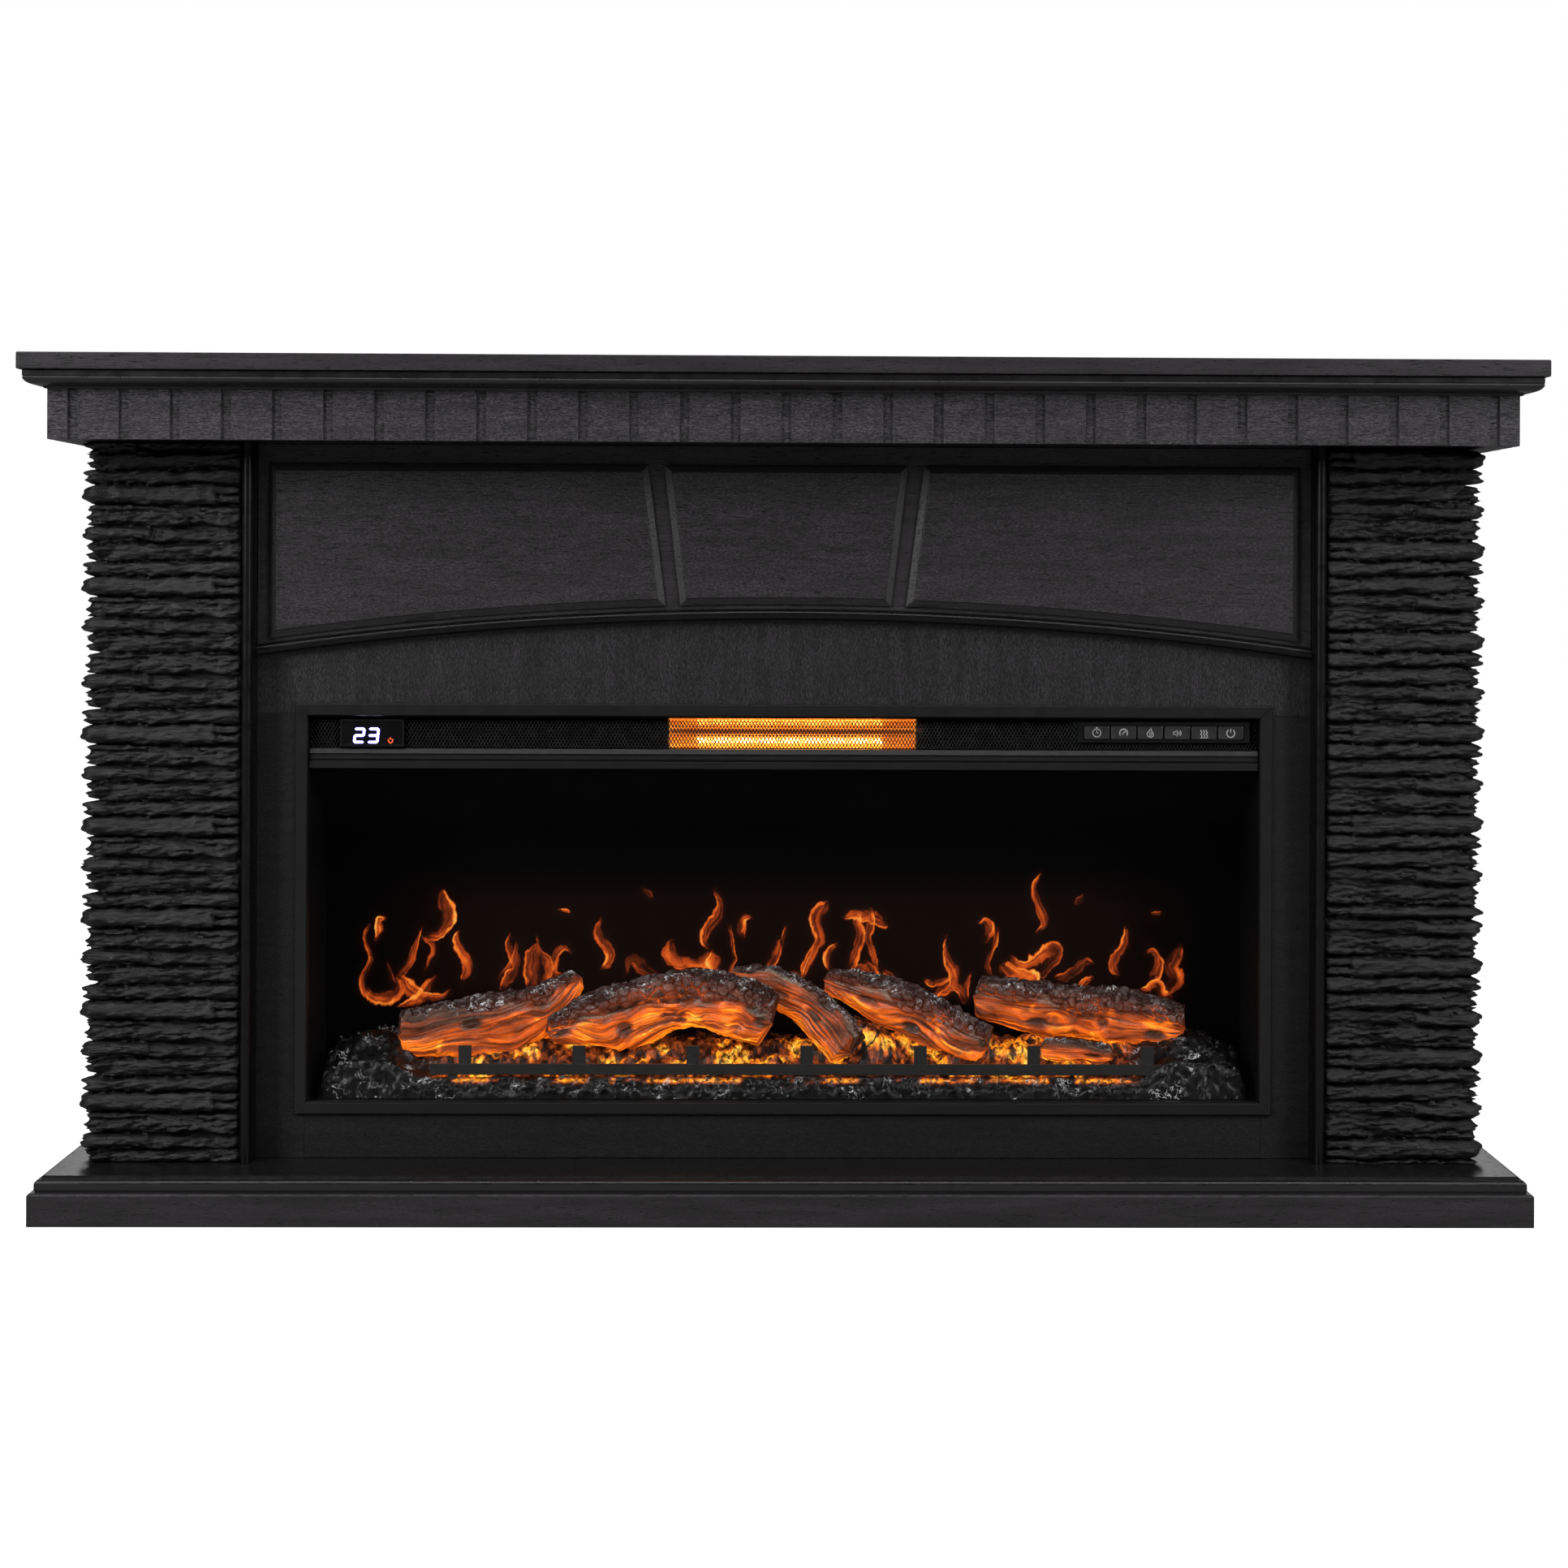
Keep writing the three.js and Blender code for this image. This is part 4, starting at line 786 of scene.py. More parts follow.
coils = {
    "upper": speckled("coil_warm", (0.9, 0.4, 0.1), 0.5, 400, 0.9, 1.1, **emission(3.5, (1.0, 0.42, 0.07))),
    "lower": speckled("coil_hot", (0.9, 0.5, 0.2), 0.5, 400, 0.9, 1.1, **emission(9.0, (1.0, 0.6, 0.2))),
}
quartz = Finish("quartz_tube", (1.0, 0.75, 0.5), 0.08, Alpha=0.2, **emission(0.14, (1.0, 0.5, 0.12)))
quartz.gloss(quartz.noise(200, 2), 0.05, 0.14)
# The ceramic lamp ends are coloured near black: painted shade, so they sink into the dark past the reflector's ends.
ceramic = speckled("lamp_ceramic", (0.006, 0.005, 0.005), 0.8, 300, 0.85, 1.05, 3, Specular_IOR_Level=0.1)
ceramic.bump(ceramic.noise(900, 3), 0.0002, 0.4)

BASE_LENGTH, COIL_TURNS, COIL_RADIUS, WIRE = 17, 46, 2.6, 0.7


def round_trip(steps):
    """Angles evenly round a circle."""
    return np.linspace(0, 2 * math.pi, steps + 1)[:-1]


for level, coil in coils.items():
    low, high = box_mm(f"quartz_lamp_{level}")
    y, z, radius = (low[1] + high[1]) / 2, (low[2] + high[2]) / 2, (high[2] - low[2]) / 2
    ends = [(low[0], low[0] + BASE_LENGTH), (high[0] - BASE_LENGTH, high[0])]
    inner_x = (ends[0][1] - 2, ends[1][0] + 2)
    tube = loft([[(x, y + radius * math.cos(a), z + radius * math.sin(a)) for a in round_trip(24)] for x in inner_x])
    piece(f"quartz_tube_{level}", *tube, quartz.material, "quartz_glow", [f"quartz_lamp_{level}"], sharp=60)
    bases = [
        loft([
            [(x, y + sy * (radius - k), z + sz * (radius - k)) for sy, sz in CORNERS]
            for x, k in ((x0, 0.8), (x0 + 0.8, 0), (x1 - 0.8, 0), (x1, 0.8))
        ])
        for x0, x1 in ends
    ]
    piece(f"lamp_bases_{level}", *merged(bases), ceramic.material, "quartz_glow")
    coil_x = np.linspace(inner_x[0] + 34, inner_x[1] - 40, COIL_TURNS * 12 + 1)
    angle = np.linspace(0, COIL_TURNS * 2 * math.pi, len(coil_x))
    radial = np.stack([0 * angle, np.cos(angle), np.sin(angle)], 1)
    rings = [
        [p + WIRE * (math.cos(a) * r + math.sin(a) * np.array([1, 0, 0])) for a in round_trip(6)]
        for p, r in zip(np.stack([coil_x, 0 * angle + y, 0 * angle + z], 1) + COIL_RADIUS * radial, radial)
    ]
    piece(f"heating_coil_{level}", *loft(rings), coil.material, "quartz_glow", sharp=80)

# Painted reflection: the metal reflector is given warm emission standing in for the lamps' glow it reflects.
reflector = Finish("reflector_lit", (0.85, 0.55, 0.2), 0.22, Metallic=1.0, Emission_Strength=1.0)
painted_warm_light = reflector.noise((24, 24, 160), 4)
reflected_glow_colours = [(0.32, (0.3, 0.055, 0.004)), (0.5, (0.78, 0.2, 0.012)), (0.68, (1.0, 0.42, 0.05))]
reflector.feed(reflector.ramp(painted_warm_light, reflected_glow_colours), "Emission Color")
reflector.gloss(reflector.noise((60, 400, 400), 3), 0.14, 0.34)
dress(reflector.material, "heater_reflector")
# The rib between the lamps glows too: painted reflection of the lamps' light.
rib = Finish("reflector_rib_lit", (0.3, 0.15, 0.05), 0.5, Metallic=1.0, **emission(0.16, (1.0, 0.27, 0.04)))
rib.gloss(rib.noise((60, 400, 400), 3), 0.4, 0.6)
low, high = box_mm("heater_reflector")
rib_x = (low[0] + 1.2, high[0] - 1.2)
rib_z = (box_mm("quartz_lamp_lower")[1][2] + 0.2, box_mm("quartz_lamp_upper")[0][2] - 0.2)
rib_y = box_mm("quartz_lamp_lower")[0][1] + 1.5
rib_outline = [(rib_x[sx > 0], rib_z[sz > 0]) for sx, sz in CORNERS]
piece("reflector_rib", *extruded(rib_outline, 1, rib_y, rib_y + 0.8), rib.material, "reflector_bright")

# ---------------------------------------------------------------- window and flame screen

glass = Finish("window_glass", (0.0, 0.0, 0.0), 0.03, Alpha=0.05, Specular_IOR_Level=0.12)
glass.gloss(glass.noise(12, 2), 0.02, 0.05)
screen_black = Finish("screen_black", (0.0006, 0.0005, 0.0005), 0.6, Specular_IOR_Level=0.06)
screen_black.gloss(screen_black.noise(30, 3), 0.42, 0.6)
dress(glass.material, "glass_pane")
dress(screen_black.material, "flame_screen")

# ---------------------------------------------------------------- glow colours


def graded(v, stops):
    """Colour at v between stops of (value, red, green, blue)."""
    at, *channels = np.array(stops).T
    return np.stack([np.interp(v, at, channel) for channel in channels], -1)


def heat(v):
    """Colour of glowing resin, from black through deep red and orange to yellow."""
    return graded(v, [
        (0, 0, 0, 0), (0.2, 0.028, 0.006, 0.0025), (0.4, 0.14, 0.024, 0.005), (0.6, 0.42, 0.07, 0.006),
        (0.8, 0.82, 0.175, 0.008), (1.0, 1.0, 0.32, 0.012), (1.25, 1.0, 0.55, 0.07),
    ])


def blend(a, b, t):
    """Colour a where t is 0 and b where it is 1."""
    return np.asarray(a) * (1 - t[..., None]) + np.asarray(b) * t[..., None]


def resin(name, roughness, coat, grit, depth, specular, weave, contrast):
    """Cast resin lit from inside.

    Its vertices carry its own colour with painted highlight streaks, its glow, and a weave of [millimetres along the
    fibre, millimetres across it, share of painted highlights]. The glow varies with noise over the weave, with so many
    cells per millimetre.
    """
    made = Finish(
        name, (1, 1, 1), roughness, Coat_Weight=coat, Coat_Roughness=0.12, Emission_Strength=1.0,
        Specular_IOR_Level=specular,
    )
    place = made.attribute("weave", "Vector")
    split = made.node("SeparateXYZ")
    made.link(place, split.inputs[0])
    mottle = made.ramp(made.noise(grit, 3), [(0.35, 0.55), (0.65, 1.35)])
    # Painted highlights: thin threads of noise, scaled by the vertex share, turn the base colour pale grey and dim the
    # glow, standing in for glints on glossy resin.
    thread = made.ramp(made.noise(75, 3, 0.6, 0.8), [(0.47, 0.0), (0.5, 1.0), (0.53, 0.0)])
    glint = made.times(thread, made.ramp(made.noise(48, 2), [(0.52, 0.0), (0.59, 1.0)]))
    glint = made.times(glint, split.outputs["Z"])
    own = made.times(made.attribute("stain", "Color"), mottle)
    made.feed(made.mixed(glint, own, (0.75, 0.75, 0.78)), "Base Color")
    fibre = made.noise((*weave, 0), 4, 0.62, 0.5, place)
    lit = made.times(made.attribute("glow", "Color"), made.ramp(fibre, contrast))
    made.feed(made.mixed(glint, lit, (0.05, 0.045, 0.045)), "Emission Color")
    made.gloss(made.noise(grit * 0.6, 2), roughness - 0.12, roughness + 0.2)
    made.bump(made.noise(grit, 4, 0.6), depth, 0.6)
    made.bump(fibre, depth, 0.7)
    made.bump(glint, 0.0009, 0.8)
    return made.material


log_resin = resin(
    "log_resin", 0.42, 0.06, 420, 0.0006, 0.3, (0.028, 0.42), [(0.36, 0.22), (0.5, 0.95), (0.66, 1.8)],
)
coal_resin = resin(
    "coal_resin", 0.36, 0.03, 260, 0.0007, 0.25, (0.17, 0.17), [(0.4, 0.06), (0.5, 0.8), (0.62, 2.0)],
)

# ---------------------------------------------------------------- logs

# Each log: the angle above the horizontal where its bark begins, at either end; points of [x, y, z, radius, drop],
# where drop is how much deeper the lower half is than a round log's; a seed; and how brightly it glows.
LOGS = {
    "far_left": (
        (62, 2), [(-424, 6, 177, 25, 0), (-370, 8, 183, 28, 4), (-314, 14, 194, 28, 16), (-268, 26, 210, 21, 16),
        (-232, 34, 234, 12, 0)], 21, 0.9,
    ),
    "left": (
        (-2, 22), [(-259, -2, 183, 15, 0), (-215, 0, 195, 25, 4), (-172, 4, 208, 25, 20), (-128, 6, 216, 29, 6),
        (-88, 5, 217, 32, 0), (-50, 0, 207, 33, 0), (-18, -6, 194, 27, 0)], 34, 1.0,
    ),
    "centre": (
        (52, 62), [(-58, 46, 236, 12, 0), (-20, 38, 231, 17, 0), (20, 24, 213, 21, 0), (50, 6, 187, 24, 0), (72, -8,
        163, 25, 0)], 47, 0.72,
    ),
    "right": (
        (28, 12), [(50, 62, 231, 12, 0), (95, 44, 218, 21, 0), (147, 26, 198, 27, 2), (190, 10, 180, 25, 0), (224,
        0, 166, 19, 0)], 59, 0.88,
    ),
    "far_right": (
        (14, 6), [(220, 44, 216, 20, 0), (291, 34, 206, 26, 4), (340, 30, 202, 27, 4), (382, 26, 197, 27, 4), (446,
        20, 186, 21, 0)], 73, 0.86,
    ),
    "small": (
        (75, 75), [(290, -4, 164, 11, 0), (328, -8, 159, 13, 0), (362, -8, 155, 11, 0)], 91, 1.05,
    ),
}


def catmull(points, t):
    """Smooth curve through rows of points at t from 0 to 1."""
    points = np.asarray(points, float)
    padded = np.vstack([2 * points[0] - points[1], points, 2 * points[-1] - points[-2]])
    at = np.clip(t, 0, 1) * (len(points) - 1)
    i = np.minimum(at.astype(int), len(points) - 2)
    f = (at - i)[:, None]
    a, b, c, d = (padded[i + k] for k in range(4))
    return 0.5 * (2 * b + (c - a) * f + (2 * a - 5 * b + 4 * c - d) * f**2 + (3 * b - a - 3 * c + d) * f**3)


RING_STEP, END_RINGS = 0.85, 9  # between a log's rings, and how many rings close each end
AROUND = 210  # points round a log
LOG_TINT = np.array([1.4, 1.14, 0.85])


def log_skin(bark_from, spine, seed, brightness):
    """Rings of points round a split log, and the colour with painted highlights, glow and weave of each point."""
    length = np.linalg.norm(np.diff(np.array(spine)[:, :3], axis=0), axis=1).sum()
    count = int(length / RING_STEP) + 2 * END_RINGS + 2
    t = np.clip((np.arange(count) - END_RINGS) / (count - 2 * END_RINGS - 1), 0, 1)
    line = catmull(spine, t)
    forward = catmull(spine, np.minimum(t + 0.01, 1))[:, :3] - catmull(spine, np.maximum(t - 0.01, 0))[:, :3]
    forward /= np.linalg.norm(forward, axis=1)[:, None]
    front = np.array([0, -1.0, 0]) + forward[:, 1:2] * forward
    front /= np.linalg.norm(front, axis=1)[:, None]
    up = np.cross(front, forward)
    angle = np.linspace(-180, 180, AROUND + 1)[:-1][None] + 0 * t[:, None]
    u = (t * length)[:, None] + 0 * angle
    radius, drop = line[:, 3:4], line[:, 4:5]
    w = np.radians(angle) * 24
    edge = bark_from[0] + (bark_from[1] - bark_from[0]) * t[:, None]
    edge = edge + 19 * noise(u / 30, u * 0 + seed, seed) + 9 * noise(u / 8, w / 22, seed + 1)
    bark = smooth(-5, 5, angle - edge) * smooth(-176, -150, angle)
    bark = np.maximum(bark, smooth(-115, -150, angle))
    lean = 5.5 * fbm(u / 55, w / 26, seed + 2, 2)
    n_wide = noise(u / 90 + 3, (w + lean * 1.2) / 6.5, seed + 3)
    n_grain = noise(u / 60, (w + lean * 1.5) / 2.5, seed + 4)
    n_fine = noise(u / 34, (w + lean * 1.6) / 1.3, seed + 5)
    wood = 1.8 * n_wide + 1.0 * n_grain + 0.5 * n_fine
    slant = u + w * 0.35
    first, second, ident = cells(slant / 11.5, (w + 3.5 * noise(u / 16, w / 12, seed + 6)) / 7.0, seed + 7, 0.8)
    crack = 1 - smooth(0.03, 0.2, second - first)
    rough = fbm(u / 7, w / 7, seed + 8, 4)
    pit_first, _, pit_kind = cells(u / 46, w / 24, seed + 14, 0.9)
    pit = smooth(0.3, 0.12, pit_first) * (pit_kind > 0.45)
    plates = 1.8 + 2.4 * (ident - 0.4) - 3.6 * crack + 2.0 * rough
    relief_mm = (wood - 3.5 * pit) * (1 - bark) + plates * bark
    flat = np.cos(np.radians(np.clip(angle + 12, -80, 80)))
    section = np.where(np.abs(angle + 12) < 80, np.minimum(1, 0.84 / np.maximum(flat, 0.2)), 1)
    section = section * (1 - bark) + bark
    lobes = 1 + 0.06 * np.sin(np.radians(angle * 2) + u / 31 + seed)
    knots = 3.6 * fbm(u / 22, w / 20, seed + 12, 4)
    reach = radius * section * lobes + relief_mm + knots
    a = np.radians(angle)
    from_end = np.minimum(np.arange(count), count - 1 - np.arange(count))[:, None] * 0.7
    close_in = np.interp(from_end, [0, 1, 2, 3, 4, 5, 6, 9], [0.03, 0.3, 0.55, 0.76, 0.88, 0.95, 0.985, 1.0])
    reach = reach * close_in
    stretch = drop * np.maximum(0, -np.sin(a)) * close_in
    push = np.where(np.arange(count) < count / 2, -1, 1)[:, None] * (1 - close_in) * 4.5
    push = push + np.where(from_end < 8, 3.2 * fbm(w / 9, u * 0 + 5, seed + 9), 0) * (from_end / 8 - 1)
    points = (
        line[:, None, :3] + front[:, None] * (np.cos(a) * reach)[..., None]
        + up[:, None] * (np.sin(a) * reach)[..., None] + forward[:, None] * push[..., None]
    )
    points[..., 2] -= stretch
    height = np.sin(a) * 0.5 + 0.5
    low_light = smooth(0.95, 0.18, height)
    patch = 0.5 + 0.5 * fbm(u / 34, w / 18, seed + 10, 3)
    ember = smooth(0.4, 0.75, 0.5 + 0.5 * fbm(u / 26, w / 14, seed + 16, 3))
    dark_line = smooth(-0.55, -0.1, n_grain) * (0.45 + 0.55 * smooth(-0.6, -0.1, n_wide))
    hot_line = np.exp(-(((n_wide - 0.12) / 0.07) ** 2)) * ember
    below_bark = smooth(26, 4, edge - angle) * smooth(-0.3, 0.3, noise(u / 40, w / 9, seed + 18))
    face_glow = (0.34 + 0.36 * low_light + 0.2 * ember) * (0.5 + 0.5 * dark_line) * (0.82 + 0.3 * patch)
    face_glow = face_glow * (1 - 0.4 * below_bark) + 0.5 * hot_line * (0.4 + 0.6 * low_light) - 0.4 * pit
    crest = smooth(0.78, 0.97, height)
    # Painted light: the bark's colour warms towards its underside, as if lit by the embers below.
    painted_warm_light = (0.3 + 0.9 * low_light) * (0.6 + 0.7 * patch) * (0.75 + 0.5 * smooth(-0.3, 0.4, rough))
    bark_colour = np.array([0.17, 0.043, 0.022]) * (painted_warm_light * (1 - 0.85 * crest) * (1 - crack))[..., None]
    seam = crack * (0.45 + 0.65 * ember) * (0.5 + 0.5 * low_light) * (1 - 0.7 * crest)
    bark_colour = bark_colour + heat(0.95 * seam)
    inner = smooth(0.25, 0.7, np.broadcast_to(1 - close_in, angle.shape))
    face_colour = heat(face_glow * (1 - 0.6 * crest))
    colour = blend(face_colour, bark_colour, bark)
    colour = blend(colour, heat(0.2 + 0.4 * patch * low_light), inner * 0.8) * brightness * LOG_TINT
    # Grey on the upper bark: partly ash, partly a painted highlight along the crest.
    ash_and_highlight = smooth(0.1, 0.5, rough) * smooth(0.62, 0.9, height) * bark
    stain = blend((0.022, 0.010, 0.008), (0.06, 0.03, 0.018), 1 - bark)
    stain = blend(stain, (0.22, 0.17, 0.13), below_bark * (1 - bark) * smooth(-0.2, 0.4, n_grain))
    stain = blend(stain, (0.004, 0.0035, 0.0035), crack * bark)
    stain = blend(stain, (0.2, 0.19, 0.19), ash_and_highlight * 0.3)
    # Share of painted highlights: the bark's top, just below the bark edge, and the cut ends.
    painted_highlight_share = bark * (0.05 + 0.9 * smooth(0.7, 0.9, height)) + 0.25 * below_bark
    painted_highlight_share = painted_highlight_share + 0.8 * inner * smooth(0.35, 0.6, height)
    weave = np.stack([u, w + 2 * lean, np.clip(painted_highlight_share, 0, 1)], -1)
    return points, {"stain": stain.reshape(-1, 3), "glow": colour.reshape(-1, 3), "weave": weave.reshape(-1, 3)}


for name, settings in LOGS.items():
    rings, skin = log_skin(*settings)
    stands_for = [f"log_{name}"] if name != "small" else ()
    piece(f"log_{name}_split", *loft(rings), log_resin, "log_resin", stands_for, sharp=80, attributes=skin)

# ---------------------------------------------------------------- ember bed

bed_low, bed_high = box_mm("ember_bed")
FACE_DEPTH, FACE_STEPS, TOP_STEPS, BED_STATIONS = 7, 17, 52, 560


def ember_rows():
    """Places across the bed from its front foot to its back: [y, share of the front face, share of the way back]."""
    face = [(bed_low[1] + FACE_DEPTH * k / FACE_STEPS, k / FACE_STEPS, 0) for k in range(FACE_STEPS + 1)]
    brow, reach = face[-1][0], bed_high[1] - face[-1][0]
    return np.array(face + [(brow + reach * k / TOP_STEPS, 1, k / TOP_STEPS) for k in range(1, TOP_STEPS + 1)])


def ember_skin():
    """Rings of points over the bed from end to end, and the colour with painted highlights, glow and weave of each
    point.
    """
    rows = ember_rows()
    x = np.linspace(bed_low[0] + 0.5, bed_high[0] - 0.5, BED_STATIONS)[:, None]
    y, climb, back = (rows[None, :, k] + 0 * x for k in range(3))
    x = x + 0 * y
    foot = bed_low[2]
    end = smooth(392, 440, np.abs(x + 4))
    tail = smooth(468, 505, np.abs(x))
    wall = smooth(512.5, 504, np.abs(x))
    middle = 21 + 34 * smooth(0.0, 0.5, back) * (1 - 0.15 * smooth(0.5, 1, back))
    heap = 40 + 20 * smooth(0, 0.3, back)
    heaped = 24 * np.exp(-(((x - 86) / 34) ** 2)) + 14 * np.exp(-(((x - 214) / 22) ** 2))
    middle = middle + heaped * smooth(0.15, 0.5, back)
    top = middle * (1 - end) + heap * end
    top = top * (1 - 0.24 * tail) * wall**0.6
    v = y + climb * 20
    lump, _, ident = cells(x / 13, v / 12, 301)
    small, _, _ = cells(x / 5.5, v / 5.5, 317)
    lumps = 3.2 * (0.5 - lump) + 2.4 * (ident - 0.5) + 1.7 * (0.5 - small) + 1.6 * fbm(x / 9, v / 9, 331)
    lumps = lumps * (1 + 0.8 * smooth(0.05, 0.3, back)) + 5.5 * fbm(x / 30, y / 30, 345, 3) * (0.25 + back)
    z = foot + top * climb**0.85 + lumps * smooth(0, 0.25, climb)
    front = y - 1.1 * lumps * smooth(0.05, 0.3, climb) * (1 - smooth(0.0, 0.1, back)) * 0.7
    front = np.maximum(front, bed_low[1] - 0.4)
    points = np.stack([x, front, np.maximum(z, foot)], -1)
    base = np.stack([x[:, 0], front[:, -1], 0 * x[:, 0] + foot], -1)[:, None]
    under = np.stack([x[:, 0], front[:, 0], 0 * x[:, 0] + foot - 0.01], -1)[:, None]
    hollow = smooth(0.15, 0.75, lump) * 0.6 + 0.4 * smooth(0.1, 0.7, small)
    patch = smooth(-0.15, 0.4, fbm(x / 22, y / 14, 359, 3))
    open_fire = smooth(404, 372, np.abs(x + 2))
    behind = smooth(0.02, 0.1, back) * open_fire
    deep = 1 - 0.8 * smooth(0.3, 0.75, back)
    hot = (0.46 + 0.95 * patch * (0.45 + 0.55 * hollow)) * deep * behind
    hot = hot * smooth(-0.4, 0.2, fbm(x / 7, y / 7, 373, 3) + 0.35 * patch)
    level = z - foot
    seam = np.exp(-(((level - 19.5) / 3.0) ** 2)) * (1 - smooth(0.0, 0.08, back)) * open_fire
    seam = seam * smooth(-0.12, 0.3, noise(x / 34, x * 0, 387) + 0.35 * noise(x / 9, level / 5, 389))
    spill = 0.22 * smooth(0.3, 0.75, fbm(x / 8, v / 7, 391)) * open_fire * smooth(0.35, 0.8, climb)
    glow = np.clip(hot + seam * 1.05 + spill * (1 - behind), 0, 1.2)
    crest = ridged(x / 9 + 0.4 * y / 9, v / 7, 401, 2)
    # Painted highlights: pale grey streaks along the coal crests, standing in for glints on glossy resin.
    painted_crest_highlight = smooth(0.86, 0.95, crest) * smooth(-0.1, 0.35, fbm(x / 16, (y + climb * 24) / 12, 405, 2)) * (1 - behind)
    stain = blend((0.002, 0.002, 0.002), (0.006, 0.0057, 0.0055), smooth(-0.2, 0.6, fbm(x / 6, v / 6, 409)))
    stain = blend(stain, (0.3, 0.3, 0.31), painted_crest_highlight * 0.6)
    # Share of painted highlights over the front coals.
    painted_highlight_share = (1 - behind) * (0.1 + 0.9 * smooth(-0.1, 0.4, fbm(x / 18, v / 12, 411, 2)))
    skin = {"stain": stain, "glow": heat(glow), "weave": np.stack([x, v, painted_highlight_share], -1)}
    pad = ((0, 0), (1, 1), (0, 0))
    return np.concatenate([under, points, base], 1), {key: np.pad(c, pad).reshape(-1, 3) for key, c in skin.items()}


rings, skin = ember_skin()
piece("ember_bed_coals", *loft(rings), coal_resin, "ember_resin", ["ember_bed"], sharp=80, attributes=skin)

# ---------------------------------------------------------------- flames on the screen

